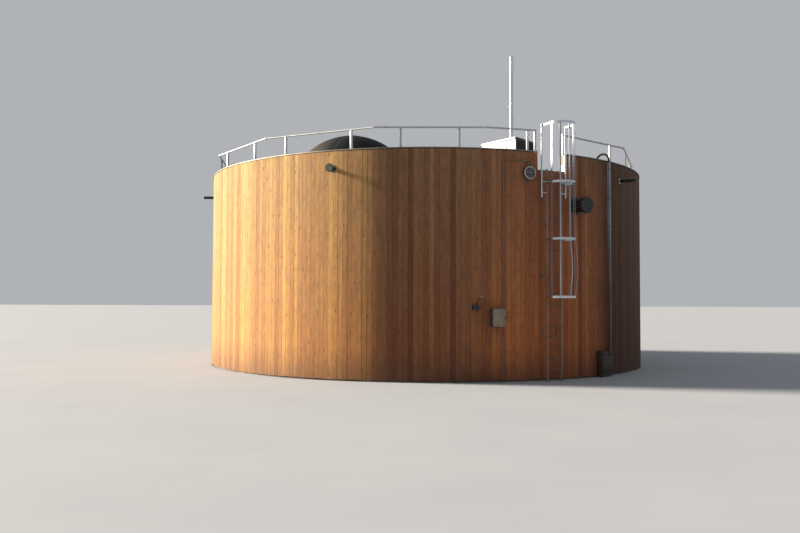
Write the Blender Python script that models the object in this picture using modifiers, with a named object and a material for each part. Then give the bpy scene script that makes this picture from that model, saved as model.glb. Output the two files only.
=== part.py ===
# A biogas digester: a round concrete tank in a coat of insulation and upright timber boards, with a
# flat concrete roof inside a low parapet, a caged ladder, a guard rail and the equipment on its roof.
# Metres, +Z up. The origin is on the tank's axis at ground level. Angles are in degrees about that
# axis, counted from -Y, the front, and positive towards +X.
import bpy
import bmesh
from math import cos, degrees, radians, sin, sqrt
from mathutils import Matrix, Vector

# Driving dimensions: the tank
CLAD_RADIUS = 7.05           # outer face of the timber boards
COAT = 0.25                  # insulation, battens and boards together
CONCRETE_WALL = 0.25
FLOOR_THICKNESS = 0.25
ROOF_TOP = 5.50
ROOF_THICKNESS = 0.25
RIM_HEIGHT = 6.00            # top of the coping above the ground
COPING_THICKNESS = 0.03
COPING_OVERHANG = 0.01       # past the boards, and the same inwards
GAP = 0.0003                 # between pieces that touch
FACET = 3.0                  # degrees a facet on the concrete and the coping
CLAD_FACET = 1.5             # and on the timber coat, a whole part of the one above
CLAD_PANELS = 6
WALL_PANELS = 4
COPING_PIECES = 4

# Driving dimensions: the ladder, its cage and the gap in the parapet
LADDER_ANGLE = 25.9
NOTCH_ANGLE = 26.83
NOTCH_WIDTH = 0.953
LINING = 0.02
LADDER_SPACING = 0.43        # between the stiles' middles
LADDER_STANDOFF = 0.20       # boards to the middle of the rungs
STILE_DEPTH = 0.060
STILE_THICKNESS = 0.020
RUNG_PITCH = 0.28
RUNG_DIAMETER = 0.028
FIRST_RUNG = 0.30
BRACKET_HEIGHTS = (1.30, 2.70, 4.14)
BRACKET_SECTION = 0.030
HOOP_WIDTH = 0.70
HOOP_SECTION = (0.006, 0.060)
HOOP_HEIGHTS = (2.15, 3.63, 5.09)
TOP_HOOP_HEIGHT = 6.61
CAGE_STRIP = (0.008, 0.040)
HOOP_REACH = 0.33            # from the stiles to the middle of the hoop's half circle
HOOP_FACETS = 13             # straight stretches in that half circle
STRIP_FACETS = (-6, -3, 0, 3, 6)     # those that carry the upright strips, from its middle
STRIP_BEND = 0.09            # how far the front strip is pushed out in the lowest bay, the others less
EXIT_POST_SPACING = 0.757
EXIT_POST = 0.042
EXIT_ARM = 0.029
EXIT_POST_BOTTOM = 4.755
EXIT_BRACKETS = (4.88, 5.17)

# Driving dimensions: the guard rail
RAIL_RADIUS = 6.95           # at its bends
RAIL_END_RADII = (7.00, 6.83)        # and where it stops beside the ladder, left and right
RAIL_TOP = 6.574
RAIL_DIAMETER = 0.048
POST_SIDE = 0.06
POST_INSET = 5.6             # degrees from a bend to the nearest post
END_INSETS = (0.30, 2.05)    # and from the rail's left end to its pair of posts; the right end has the first
POST_FOOT = (0.08, 0.010)
RAIL_ENDS = (22.92, 31.1 - 360.0)
FRONT_BENDS = (11.3, -12.6, -41.3, -69.1)
LAST_BEND = 55.3 - 360.0
BACK_PANELS = 8
RAIL_RUN_PANELS = (4, 3, 3, 3)

# Driving dimensions: on the roof
DOME_CENTRE = (-2.40, -1.50)
DOME_CURVE = 2.10            # radius of the membrane's curve
DOME_TOP = 7.35
DOME_SKIN = 0.03
DOME_RING = (0.11, 0.08)     # clamping ring, radial width and height
HOUSING_CORNER = (2.56, -3.80)
HOUSING_TURN = 45.0
HOUSING_SIDES = (1.30, 0.97)
HOUSING_TOP = 6.93
HOUSING_FALL = 0.05          # fall of the lid for each metre from the front corner
HOUSING_LID = 0.06
HOUSING_LID_OVERHANG = 0.03
HOUSING_PLINTH = 0.08
STACK_PLACE = (2.70, -2.00)
STACK_DIAMETER = 0.12
STACK_TOP = 9.84
STACK_FOOT = (0.30, 0.015)

# Driving dimensions: on the outside wall
BOX_ANGLE = 13.15
BOX_SIZE = (0.33, 0.30, 0.46)
BOX_BOTTOM = 1.42
BOX_LID = 0.035
CONDUIT_DIAMETER = 0.025
CONDUIT_ANGLE = 14.9
CONDUIT_TURN_HEIGHT = 5.72
CONDUIT_BEND = 0.06
LAMP_ANGLE = 20.6
LAMP_HEIGHT = 5.39
LAMP_DIAMETER = 0.34
LAMP_DEPTH = 0.10
LAMP_RING = 0.035
LAMP_FOOT = (0.12, 0.04)
PROBE_ANGLE = 8.9
PROBE_HEIGHT = 1.90
PROBE_SIZE = (0.20, 0.09, 0.14)
PROBE_CABLE = 0.012
PROBE_GLAND_STEP = 1.17      # degrees from the head to the cable's upper end
PROBE_GLAND_RISE = 0.205     # and how far that is above the head
TRANSFER_ANGLE = 33.45
TRANSFER_HEIGHT = 4.62
TRANSFER_DIAMETER = 0.35
TRANSFER_LENGTH = 0.42
TRANSFER_COLLAR = (0.46, 0.03)
TRANSFER_FLANGE = (0.45, 0.04)
GAS_ANGLE = -21.65
GAS_HEIGHT = 5.50
GAS_DIAMETER = 0.11
GAS_LENGTH = 0.24
GAS_COLLAR = (0.20, 0.02)
GAS_FLANGE = (0.22, 0.025)
SPOUT_ANGLES = (50.8, 124.5, 198.3, 272.0)
SPOUT_HEIGHT = 5.50
SPOUT_DIAMETER = 0.10
SPOUT_LENGTH = 0.45
SPOUT_WALL = 0.006
CABINET_ANGLE = 42.0
CABINET_SIZE = (0.50, 0.20, 0.70)
DUCT_ANGLE = 44.85
DUCT_SIZE = (0.07, 0.08)
DUCT_TOP = 5.95
HOSE_DIAMETER = 0.059
HOSE_RADIUS = 0.195          # of the bend over the parapet
HOSE_SOCKET = 0.055          # straight stretch of hose above the duct

# Worked out from the sizes above
CONCRETE_RADIUS = CLAD_RADIUS - COAT
LADDER_RADIUS = CLAD_RADIUS + LADDER_STANDOFF
NOTCH_HALF = degrees(NOTCH_WIDTH / 2 / CLAD_RADIUS)
PANEL_SPAN = 360.0 / CLAD_PANELS
FIRST_SEAM = LADDER_ANGLE - PANEL_SPAN / 2   # so that the gap in the parapet is inside one panel
CLAD_TOP = RIM_HEIGHT - COPING_THICKNESS


def place(angle, radius, z):
    """The point at an angle from the front, a distance from the tank's axis and a height."""
    return Vector((radius * sin(radians(angle)), -radius * cos(radians(angle)), z))


def frame_at(angle, radius, z):
    """A frame whose X runs round the tank, Y away from it and Z up."""
    out = place(angle, 1.0, 0.0)
    along = Vector((-out.y, out.x, 0.0))
    turn = Matrix((along, out, Vector((0, 0, 1)))).transposed().to_4x4()
    return Matrix.Translation(place(angle, radius, z)) @ turn


def arc_gap(radius):
    """Half the touching gap as an angle at a radius."""
    return degrees(GAP / 2 / radius)


def clear_scene():
    for item in list(bpy.data.objects):
        bpy.data.objects.remove(item, do_unlink=True)
    for group in list(bpy.data.collections):
        bpy.data.collections.remove(group)


def collection(name):
    group = bpy.data.collections.new(name)
    bpy.context.scene.collection.children.link(group)
    return group


def finish_object(name, data, colour, roughness=0.6, metallic=0.0):
    """Links a mesh or curve as an object of the digester and gives it a material of its own."""
    item = bpy.data.objects.new(name, data)
    DIGESTER.objects.link(item)
    material = bpy.data.materials.new(name + "_finish")
    material.use_nodes = True
    shader = material.node_tree.nodes["Principled BSDF"]
    shader.inputs["Base Color"].default_value = (*colour, 1.0)
    shader.inputs["Roughness"].default_value = roughness
    shader.inputs["Metallic"].default_value = metallic
    data.materials.append(material)
    return item


def to_mesh(bm, name):
    bmesh.ops.recalc_face_normals(bm, faces=bm.faces)
    mesh = bpy.data.meshes.new(name)
    bm.to_mesh(mesh)
    bm.free()
    return mesh


def smooth(item):
    item.data.shade_smooth()
    item.data.set_sharp_from_angle(angle=radians(35))
    return item


def arc_mesh(name, inner, outer, low, high, start, end, facet):
    """A block bent round the tank's axis: a flat face in the plane of its start, spun to its end."""
    bm = bmesh.new()
    upright = Matrix.Rotation(radians(90), 4, "X")
    size = Matrix.Diagonal((outer - inner, 1, high - low, 1))
    middle = Matrix.Translation(((outer + inner) / 2, 0, (high + low) / 2))
    turn = Matrix.Rotation(radians(start - 90), 4, "Z")
    bmesh.ops.create_grid(bm, x_segments=1, y_segments=1, size=0.5, matrix=turn @ middle @ size @ upright)
    steps = max(1, round((end - start) / facet))
    bmesh.ops.spin(bm, geom=bm.faces[:] + bm.edges[:] + bm.verts[:], cent=(0, 0, 0), axis=(0, 0, 1),
                   angle=radians(end - start), steps=steps)
    return to_mesh(bm, name)


def arc_block(name, inner, outer, low, high, start, end, facet, colour, **finish):
    return finish_object(name, arc_mesh(name, inner, outer, low, high, start, end, facet), colour, **finish)


def block(name, matrix, size, colour, **finish):
    """A box of a size about the middle of a frame."""
    bm = bmesh.new()
    bmesh.ops.create_cube(bm, size=1.0, matrix=matrix @ Matrix.Diagonal((*size, 1)))
    return finish_object(name, to_mesh(bm, name), colour, **finish)


def add_rod(bm, start, end, diameter, sides=12):
    """A round rod between two points, added to a bmesh."""
    start, end = Vector(start), Vector(end)
    turn = (end - start).to_track_quat("Z", "Y").to_matrix().to_4x4()
    middle = Matrix.Translation((start + end) / 2) @ turn
    bmesh.ops.create_cone(bm, cap_ends=True, segments=sides, radius1=diameter / 2, radius2=diameter / 2,
                          depth=(end - start).length, matrix=middle)


def rod(name, start, end, diameter, colour, sides=24, **finish):
    bm = bmesh.new()
    add_rod(bm, start, end, diameter, sides)
    return smooth(finish_object(name, to_mesh(bm, name), colour, **finish))


def tube(name, points, diameter, colour, sides=2, **finish):
    """A round bar along a line of points, as a curve with filled ends."""
    curve = bpy.data.curves.new(name, "CURVE")
    curve.dimensions = "3D"
    curve.bevel_depth = diameter / 2
    curve.bevel_resolution = sides
    curve.use_fill_caps = True
    line = curve.splines.new("POLY")
    line.points.add(len(points) - 1)
    for target, point in zip(line.points, points):
        target.co = (*point, 1.0)
    return finish_object(name, curve, colour, **finish)


def as_mesh(item):
    """Makes a curve object a mesh object, with its loose caps welded."""
    name = item.name
    graph = bpy.context.evaluated_depsgraph_get()
    mesh = bpy.data.meshes.new_from_object(item.evaluated_get(graph))
    bm = bmesh.new()
    bm.from_mesh(mesh)
    bmesh.ops.remove_doubles(bm, verts=bm.verts, dist=0.0001)
    bmesh.ops.recalc_face_normals(bm, faces=bm.faces)
    bm.to_mesh(mesh)
    bm.free()
    made = bpy.data.objects.new(name + "_mesh", mesh)
    made.matrix_world = item.matrix_world
    DIGESTER.objects.link(made)
    bpy.data.objects.remove(item, do_unlink=True)
    made.name = name
    return made


def tool(name, mesh):
    """An object that only cuts or joins another."""
    item = bpy.data.objects.new(name, mesh)
    CUTTERS.objects.link(item)
    item.hide_render = True
    item.display_type = "WIRE"
    return item


def combine(item, other, operation):
    """Cuts one object by another, or joins it to another, in one body."""
    boolean = item.modifiers.new(operation.title(), "BOOLEAN")
    boolean.operation = operation
    boolean.solver = "EXACT"
    boolean.object = other


def bend(corner, first, last, radius, steps=4):
    """Points of a round bend that replaces the corner between two straight stretches."""
    first, corner, last = Vector(first), Vector(corner), Vector(last)
    back = (first - corner).normalized()
    onward = (last - corner).normalized()
    start, end = corner + back * radius, corner + onward * radius
    return [start.lerp(corner, t).lerp(corner.lerp(end, t), t) for t in [i / steps for i in range(steps + 1)]]


CONCRETE = (0.42, 0.40, 0.36)
TIMBER = (0.42, 0.20, 0.09)
GALVANISED = (0.45, 0.47, 0.49)
PALE_METAL = (0.78, 0.79, 0.80)
DARK_PLASTIC = (0.02, 0.02, 0.024)
DARK_PAINT = (0.05, 0.05, 0.05)
BEIGE_PLASTIC = (0.32, 0.28, 0.22)
WHITE_SHEET = (0.80, 0.80, 0.78)
MEMBRANE = (0.035, 0.045, 0.055)
LAMP_GREY = (0.35, 0.34, 0.32)
LAMP_GLASS = (0.03, 0.03, 0.03)


def tank():
    """The floor, the concrete wall in segments and the roof slab."""
    turn = Matrix.Rotation(radians(FIRST_SEAM), 4, "Z")
    slabs = (("floor_slab", 0.0, FLOOR_THICKNESS), ("roof_slab", ROOF_TOP - ROOF_THICKNESS, ROOF_TOP))
    for name, low, high in slabs:
        bm = bmesh.new()
        bmesh.ops.create_cone(bm, cap_ends=True, segments=round(360 / FACET), radius1=CONCRETE_RADIUS,
                              radius2=CONCRETE_RADIUS, depth=high - low,
                              matrix=Matrix.Translation((0, 0, (low + high) / 2)) @ turn)
        finish_object(name, to_mesh(bm, name), CONCRETE, roughness=0.9)
    inner = CONCRETE_RADIUS - CONCRETE_WALL
    span = 360.0 / WALL_PANELS
    for index in range(WALL_PANELS):
        start = FIRST_SEAM + index * span
        arc_block("tank_wall_%d" % (index + 1), inner, CONCRETE_RADIUS, FLOOR_THICKNESS + GAP,
                  ROOF_TOP - ROOF_THICKNESS - GAP, start + arc_gap(inner), start + span - arc_gap(inner),
                  FACET, CONCRETE, roughness=0.9)


def coat():
    """The timber coat in panels, with the ladder's gap cut out of the one behind the ladder."""
    inner = CONCRETE_RADIUS + GAP
    for index in range(CLAD_PANELS):
        start = FIRST_SEAM + index * PANEL_SPAN
        panel = arc_block("timber_cladding_%d" % (index + 1), inner, CLAD_RADIUS, 0.0, CLAD_TOP,
                          start + arc_gap(inner), start + PANEL_SPAN - arc_gap(inner), CLAD_FACET,
                          TIMBER, roughness=0.75)
        if index == 0:
            cutter = arc_mesh("notch_cutter", inner - COAT, CLAD_RADIUS + COAT, ROOF_TOP, RIM_HEIGHT + COAT,
                              NOTCH_ANGLE - NOTCH_HALF, NOTCH_ANGLE + NOTCH_HALF, CLAD_FACET)
            combine(panel, tool("notch_cutter", cutter), "DIFFERENCE")
    lining_gap = degrees(GAP / CLAD_RADIUS)
    half = NOTCH_HALF - lining_gap
    lining = arc_block("notch_lining", inner, CLAD_RADIUS, ROOF_TOP + GAP, CLAD_TOP, NOTCH_ANGLE - half,
                       NOTCH_ANGLE + half, CLAD_FACET, PALE_METAL, roughness=0.35, metallic=0.8)
    clear = half - degrees(LINING / CLAD_RADIUS)
    passage = arc_mesh("passage_cutter", inner - COAT, CLAD_RADIUS + COAT, ROOF_TOP + GAP + LINING,
                       RIM_HEIGHT + COAT, NOTCH_ANGLE - clear, NOTCH_ANGLE + clear, CLAD_FACET)
    combine(lining, tool("passage_cutter", passage), "DIFFERENCE")


def coping():
    """The thin metal coping on the parapet, open at the ladder."""
    start = NOTCH_ANGLE + NOTCH_HALF
    span = (360.0 - 2 * NOTCH_HALF) / COPING_PIECES
    inner = CONCRETE_RADIUS - COPING_OVERHANG
    for index in range(COPING_PIECES):
        low = start + index * span + arc_gap(inner)
        arc_block("parapet_coping_%d" % (index + 1), inner, CLAD_RADIUS + COPING_OVERHANG, CLAD_TOP + GAP,
                  RIM_HEIGHT, low, start + (index + 1) * span - arc_gap(inner), FACET, GALVANISED,
                  roughness=0.45, metallic=0.7)


def ladder_point(side, out, z):
    """A point in the ladder's own frame: to the right, out from the boards, and up."""
    return frame_at(LADDER_ANGLE, CLAD_RADIUS, z) @ Vector((side, out, 0))


def ladder():
    """Two flat stiles from the ground to the landing, rungs let into them and arms to the boards."""
    half = LADDER_SPACING / 2
    stiles = bmesh.new()
    for side in (-half, half):
        matrix = frame_at(LADDER_ANGLE, LADDER_RADIUS, ROOF_TOP / 2) @ Matrix.Translation((side, 0, 0))
        size = Matrix.Diagonal((STILE_THICKNESS, STILE_DEPTH, ROOF_TOP, 1))
        bmesh.ops.create_cube(stiles, size=1.0, matrix=matrix @ size)
    item = finish_object("ladder", to_mesh(stiles, "ladder"), GALVANISED, roughness=0.5, metallic=0.8)
    rungs = bmesh.new()
    count = int((ROOF_TOP - FIRST_RUNG) / RUNG_PITCH) + 1
    for index in range(count):
        z = FIRST_RUNG + index * RUNG_PITCH
        add_rod(rungs, ladder_point(-half, LADDER_STANDOFF, z), ladder_point(half, LADDER_STANDOFF, z),
                RUNG_DIAMETER, 8)
    combine(item, tool("ladder_rungs", to_mesh(rungs, "ladder_rungs")), "UNION")
    curve = CLAD_RADIUS - sqrt(CLAD_RADIUS ** 2 - half ** 2)
    arm_length = LADDER_STANDOFF + curve - GAP
    arms = bmesh.new()
    for z in BRACKET_HEIGHTS:
        for side in (-half, half):
            matrix = frame_at(LADDER_ANGLE, LADDER_RADIUS - arm_length / 2, z)
            size = Matrix.Diagonal((STILE_THICKNESS / 2, arm_length, BRACKET_SECTION, 1))
            bmesh.ops.create_cube(arms, size=1.0, matrix=matrix @ Matrix.Translation((side, 0, 0)) @ size)
    combine(item, tool("ladder_arms", to_mesh(arms, "ladder_arms")), "UNION")


def ribbon(name, points, height, thickness, colour, **finish):
    """A flat bar set on edge along points of one height, or up along points of one plane."""
    bm = bmesh.new()
    corners = [bm.verts.new(point) for point in points]
    for first, second in zip(corners, corners[1:]):
        bm.edges.new((first, second))
    grown = bmesh.ops.extrude_edge_only(bm, edges=bm.edges[:])
    moved = [part for part in grown["geom"] if isinstance(part, bmesh.types.BMVert)]
    bmesh.ops.translate(bm, verts=moved, vec=height)
    mesh = bpy.data.meshes.new(name)
    bm.to_mesh(mesh)
    bm.free()
    item = finish_object(name, mesh, colour, **finish)
    wall = item.modifiers.new("Wall", "SOLIDIFY")
    wall.thickness = thickness
    wall.offset = 0.0
    return item


def hoop_plan(half_at_wall, out_at_wall):
    """Points of a hoop, to the right and out: arms that open out, then a half circle."""
    radius = HOOP_WIDTH / 2
    centre = out_at_wall + HOOP_REACH
    points = [(-half_at_wall, out_at_wall)]
    for index in range(HOOP_FACETS + 1):
        turn = radians(-90 + 180 * index / HOOP_FACETS)
        points.append((radius * sin(turn), centre + radius * cos(turn)))
    points.append((half_at_wall, out_at_wall))
    return points, centre


def cage():
    """The safety cage: three hoops on the stiles, one on the exit posts, and upright strips inside."""
    thickness, height = HOOP_SECTION
    out = LADDER_STANDOFF
    seat = LADDER_SPACING / 2 + STILE_THICKNESS / 2 + thickness / 2 + GAP
    plan, centre = hoop_plan(seat, out)
    for index, z in enumerate(HOOP_HEIGHTS):
        points = [ladder_point(side, reach, z) for side, reach in plan]
        ribbon("cage_hoop_%d" % (index + 1), points, (0, 0, height), thickness, PALE_METAL,
               roughness=0.4, metallic=0.8)
    top_seat = EXIT_POST_SPACING / 2 - EXIT_POST / 2 - thickness / 2 - GAP
    top_plan = [(-top_seat, out)] + plan[1:-1] + [(top_seat, out)]
    points = [ladder_point(side, reach, TOP_HOOP_HEIGHT) for side, reach in top_plan]
    ribbon("cage_hoop_4", points, (0, 0, height), thickness, PALE_METAL, roughness=0.4, metallic=0.8)
    strip_thickness, strip_width = CAGE_STRIP
    facet = 180 / HOOP_FACETS
    inside = HOOP_WIDTH / 2 * cos(radians(facet / 2)) - thickness / 2 - strip_thickness / 2 - GAP
    low, bent_top = HOOP_HEIGHTS[0], HOOP_HEIGHTS[1]
    for index, facets in enumerate(STRIP_FACETS):
        turn = radians(facets * facet)
        levels = [(low, 0.0), (low + height, 0.0)]
        bay = bent_top - low - height
        for share in (0.25, 0.5, 0.75):
            push = STRIP_BEND * cos(turn) * sin(radians(180 * share))
            levels.append((low + height + bay * share, push))
        levels += [(bent_top, 0.0), (TOP_HOOP_HEIGHT + height, 0.0)]
        across = Vector((cos(turn), -sin(turn))) * strip_width / 2
        points = []
        for z, push in levels:
            reach = inside + push
            middle = Vector((reach * sin(turn), centre + reach * cos(turn)))
            points.append(ladder_point(*(middle - across), z))
        side_step = ladder_point(*(across * 2), 0) - ladder_point(0, 0, 0)
        ribbon("cage_strip_%d" % (index + 1), points, side_step, strip_thickness, PALE_METAL,
               roughness=0.4, metallic=0.8)


def exit_posts():
    """The two grab rails beside the ladder's head, on arms from its stiles."""
    for side, name in ((-1, "exit_grab_rail_left"), (1, "exit_grab_rail_right")):
        across = side * EXIT_POST_SPACING / 2
        top = TOP_HOOP_HEIGHT + HOOP_SECTION[1]
        bm = bmesh.new()
        add_rod(bm, ladder_point(across, LADDER_STANDOFF, EXIT_POST_BOTTOM),
                ladder_point(across, LADDER_STANDOFF, top), EXIT_POST, 12)
        item = smooth(finish_object(name, to_mesh(bm, name), PALE_METAL, roughness=0.4, metallic=0.8))
        arms = bmesh.new()
        seat = side * (LADDER_SPACING / 2 + STILE_THICKNESS / 2 + GAP)
        for z in EXIT_BRACKETS:
            add_rod(arms, ladder_point(seat, LADDER_STANDOFF, z), ladder_point(across, LADDER_STANDOFF, z),
                    EXIT_ARM, 8)
        combine(item, tool(name + "_arms", to_mesh(arms, name + "_arms")), "UNION")


def rail_point(angle, z):
    """A bend of the rail, or one of its two ends."""
    ends = dict(zip(RAIL_ENDS, RAIL_END_RADII))
    return place(angle, ends.get(angle, RAIL_RADIUS), z)


def rail_posts(angles):
    """The frame at the foot of each post of a run, two to a panel."""
    for start, end in zip(angles, angles[1:]):
        first, last = rail_point(start, RIM_HEIGHT + GAP), rail_point(end, RIM_HEIGHT + GAP)
        along = (first - last).normalized()
        out = along.cross(Vector((0, 0, 1)))
        turn = Matrix((along, out, Vector((0, 0, 1)))).transposed().to_4x4()
        if start == RAIL_ENDS[0]:
            stops = [start - inset for inset in END_INSETS]
        else:
            stops = [start - POST_INSET, end + (END_INSETS[0] if end in RAIL_ENDS else POST_INSET)]
        for angle in stops:
            side = frame_at(angle, 0, 0).to_3x3() @ Vector((1, 0, 0))
            share = first.dot(side) / (first - last).dot(side)
            yield Matrix.Translation(first.lerp(last, share)) @ turn


def mitre(item, angle, keep):
    """Cuts a rail off in the upright plane through the tank's axis; keep is 1 for the side at +X."""
    plane = frame_at(angle, 0, 0)
    along = plane.to_3x3() @ Vector((keep, 0, 0))
    bm = bmesh.new()
    bm.from_mesh(item.data)
    cut = bmesh.ops.bisect_plane(bm, geom=bm.verts[:] + bm.edges[:] + bm.faces[:],
                                 plane_co=along * GAP / 2, plane_no=along, clear_inner=True)
    rim = [part for part in cut["geom_cut"] if isinstance(part, bmesh.types.BMEdge)]
    bmesh.ops.edgeloop_fill(bm, edges=rim)
    bmesh.ops.recalc_face_normals(bm, faces=bm.faces)
    bm.to_mesh(item.data)
    bm.free()


def guard_rail():
    """The rail round the roof, in straight panels between bends, on posts that stand on the coping."""
    step = (LAST_BEND - FRONT_BENDS[-1]) / BACK_PANELS
    back = [FRONT_BENDS[-1] + step * (index + 1) for index in range(BACK_PANELS)]
    bends = [RAIL_ENDS[0], *FRONT_BENDS, *back, RAIL_ENDS[1]]
    middle = RAIL_TOP - RAIL_DIAMETER / 2
    first = 0
    for run, panels in enumerate(RAIL_RUN_PANELS):
        name = "guard_rail_%d" % (run + 1)
        angles = bends[first:first + panels + 1]
        points = [rail_point(angle, middle) for angle in angles]
        for end, neighbour, at_ladder in ((0, 1, run == 0), (-1, -2, run == len(RAIL_RUN_PANELS) - 1)):
            if not at_ladder:
                points[end] = points[end] + (points[end] - points[neighbour]).normalized() * RAIL_DIAMETER
        bar = as_mesh(tube(name, points, RAIL_DIAMETER, GALVANISED))
        if run > 0:
            mitre(bar, angles[0], -1)
        if run < len(RAIL_RUN_PANELS) - 1:
            mitre(bar, angles[-1], 1)
        posts, feet = bmesh.new(), bmesh.new()
        height = middle - RIM_HEIGHT - GAP
        foot_side, foot_height = POST_FOOT
        for base in rail_posts(angles):
            for bm, side, rise in ((posts, POST_SIDE, height), (feet, foot_side, foot_height)):
                lift = Matrix.Translation((0, 0, rise / 2))
                size = Matrix.Diagonal((side, side, rise, 1))
                bmesh.ops.create_cube(bm, size=1.0, matrix=base @ lift @ size)
        combine(bar, tool(name + "_posts", to_mesh(posts, name + "_posts")), "UNION")
        combine(bar, tool(name + "_feet", to_mesh(feet, name + "_feet")), "UNION")
        first += panels


def gas_dome():
    """The grey membrane dome over the roof, with the ring that clamps it down."""
    centre = Vector((*DOME_CENTRE, DOME_TOP - DOME_CURVE))
    base = Vector((*DOME_CENTRE, ROOF_TOP + GAP))
    bm = bmesh.new()
    bmesh.ops.create_uvsphere(bm, u_segments=36, v_segments=18, radius=DOME_CURVE,
                              matrix=Matrix.Translation(centre))
    cut = bmesh.ops.bisect_plane(bm, geom=bm.verts[:] + bm.edges[:] + bm.faces[:], plane_co=base,
                                 plane_no=(0, 0, 1), clear_inner=True)
    rim = [part for part in cut["geom_cut"] if isinstance(part, bmesh.types.BMEdge)]
    bmesh.ops.edgeloop_fill(bm, edges=rim)
    item = smooth(finish_object("gas_dome", to_mesh(bm, "gas_dome"), MEMBRANE, roughness=0.5))
    inside = bmesh.new()
    bmesh.ops.create_uvsphere(inside, u_segments=36, v_segments=18, radius=DOME_CURVE - DOME_SKIN,
                              matrix=Matrix.Translation(centre))
    combine(item, tool("dome_inside", to_mesh(inside, "dome_inside")), "DIFFERENCE")
    foot_radius = sqrt(DOME_CURVE ** 2 - (base.z - centre.z) ** 2)
    ring = bmesh.new()
    width, height = DOME_RING
    bmesh.ops.create_cone(ring, cap_ends=True, segments=36, radius1=foot_radius + width,
                          radius2=foot_radius + width, depth=height,
                          matrix=Matrix.Translation(base + Vector((0, 0, height / 2))))
    clamp = finish_object("dome_clamping_ring", to_mesh(ring, "dome_clamping_ring"), GALVANISED,
                          roughness=0.5, metallic=0.8)
    hole = bmesh.new()
    bmesh.ops.create_cone(hole, cap_ends=True, segments=36, radius1=foot_radius + 2 * GAP,
                          radius2=foot_radius + 2 * GAP, depth=3 * height, matrix=Matrix.Translation(base))
    combine(clamp, tool("ring_cutter", to_mesh(hole, "ring_cutter")), "DIFFERENCE")


def roof_housing():
    """The white equipment housing on the roof: a plinth, a body and a lid that falls to the back."""
    turn = Matrix.Rotation(radians(HOUSING_TURN), 4, "Z")
    right, left = HOUSING_SIDES[1], HOUSING_SIDES[0]
    corner = Matrix.Translation((*HOUSING_CORNER, 0)) @ turn

    def cell(name, inset, low, high, fall, colour, roughness):
        bm = bmesh.new()
        size = Matrix.Diagonal((right - 2 * inset, left - 2 * inset, high - low, 1))
        middle = Matrix.Translation((right / 2, left / 2, (low + high) / 2))
        bmesh.ops.create_cube(bm, size=1.0, matrix=corner @ middle @ size)
        for vert in bm.verts:
            along = corner.inverted() @ vert.co
            top = abs(vert.co.z - high) < GAP
            if fall == "both" or fall == "top" and top:
                vert.co.z -= HOUSING_FALL * (along.x + along.y)
        return finish_object(name, to_mesh(bm, name), colour, roughness=roughness)

    low = ROOF_TOP + GAP
    lid_bottom = HOUSING_TOP - HOUSING_LID
    cell("housing_plinth", HOUSING_LID_OVERHANG, low, low + HOUSING_PLINTH, None, CONCRETE, 0.9)
    cell("housing_body", HOUSING_LID_OVERHANG, low + HOUSING_PLINTH + GAP, lid_bottom - GAP, "top",
         WHITE_SHEET, 0.4)
    cell("housing_lid", 0.0, lid_bottom, HOUSING_TOP, "both", WHITE_SHEET, 0.4)


def vent_stack():
    """The tall vent pipe that stands on the roof behind the housing, with its foot plate."""
    foot, foot_height = STACK_FOOT
    low = ROOF_TOP + GAP
    item = rod("vent_stack", (*STACK_PLACE, low), (*STACK_PLACE, STACK_TOP), STACK_DIAMETER, PALE_METAL,
               roughness=0.4, metallic=0.8)
    plate = bmesh.new()
    add_rod(plate, (*STACK_PLACE, low), (*STACK_PLACE, low + foot_height), foot, 24)
    combine(item, tool("stack_plate", to_mesh(plate, "stack_plate")), "UNION")


def junction_box():
    """The switch box on the boards, and the conduit beside it from the ground up to the lamp."""
    width, depth, height = BOX_SIZE
    z = BOX_BOTTOM + height / 2
    body_depth = depth - BOX_LID
    block("junction_box_body", frame_at(BOX_ANGLE, CLAD_RADIUS + GAP + body_depth / 2, z),
          (width, body_depth, height), BEIGE_PLASTIC)
    block("junction_box_lid", frame_at(BOX_ANGLE, CLAD_RADIUS + 2 * GAP + depth - BOX_LID / 2, z),
          (width, BOX_LID, height), BEIGE_PLASTIC)
    radius = CLAD_RADIUS + 2 * GAP + CONDUIT_DIAMETER / 2
    rod("conduit_lower", place(CONDUIT_ANGLE, radius, 0.0), place(CONDUIT_ANGLE, radius, z), CONDUIT_DIAMETER,
        GALVANISED, sides=12, roughness=0.5)
    turn = place(CONDUIT_ANGLE, radius, CONDUIT_TURN_HEIGHT)
    start = place(CONDUIT_ANGLE, radius, z + GAP)
    clear = CONDUIT_ANGLE + degrees(CONDUIT_BEND / radius)
    last = LAMP_ANGLE - degrees(CONDUIT_BEND / radius)
    steps = 10
    run = last - clear
    across = [place(clear + run * i / steps, radius, CONDUIT_TURN_HEIGHT) for i in range(steps + 1)]
    down_top = place(LAMP_ANGLE, radius, CONDUIT_TURN_HEIGHT)
    down_end = place(LAMP_ANGLE, radius, LAMP_HEIGHT + LAMP_FOOT[0] / 2 + GAP)
    points = [start] + bend(turn, start, across[0], CONDUIT_BEND) + across[1:-1]
    points += bend(down_top, across[-1], down_end, CONDUIT_BEND) + [down_end]
    tube("conduit_upper", points, CONDUIT_DIAMETER, GALVANISED, sides=2, roughness=0.5)


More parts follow.
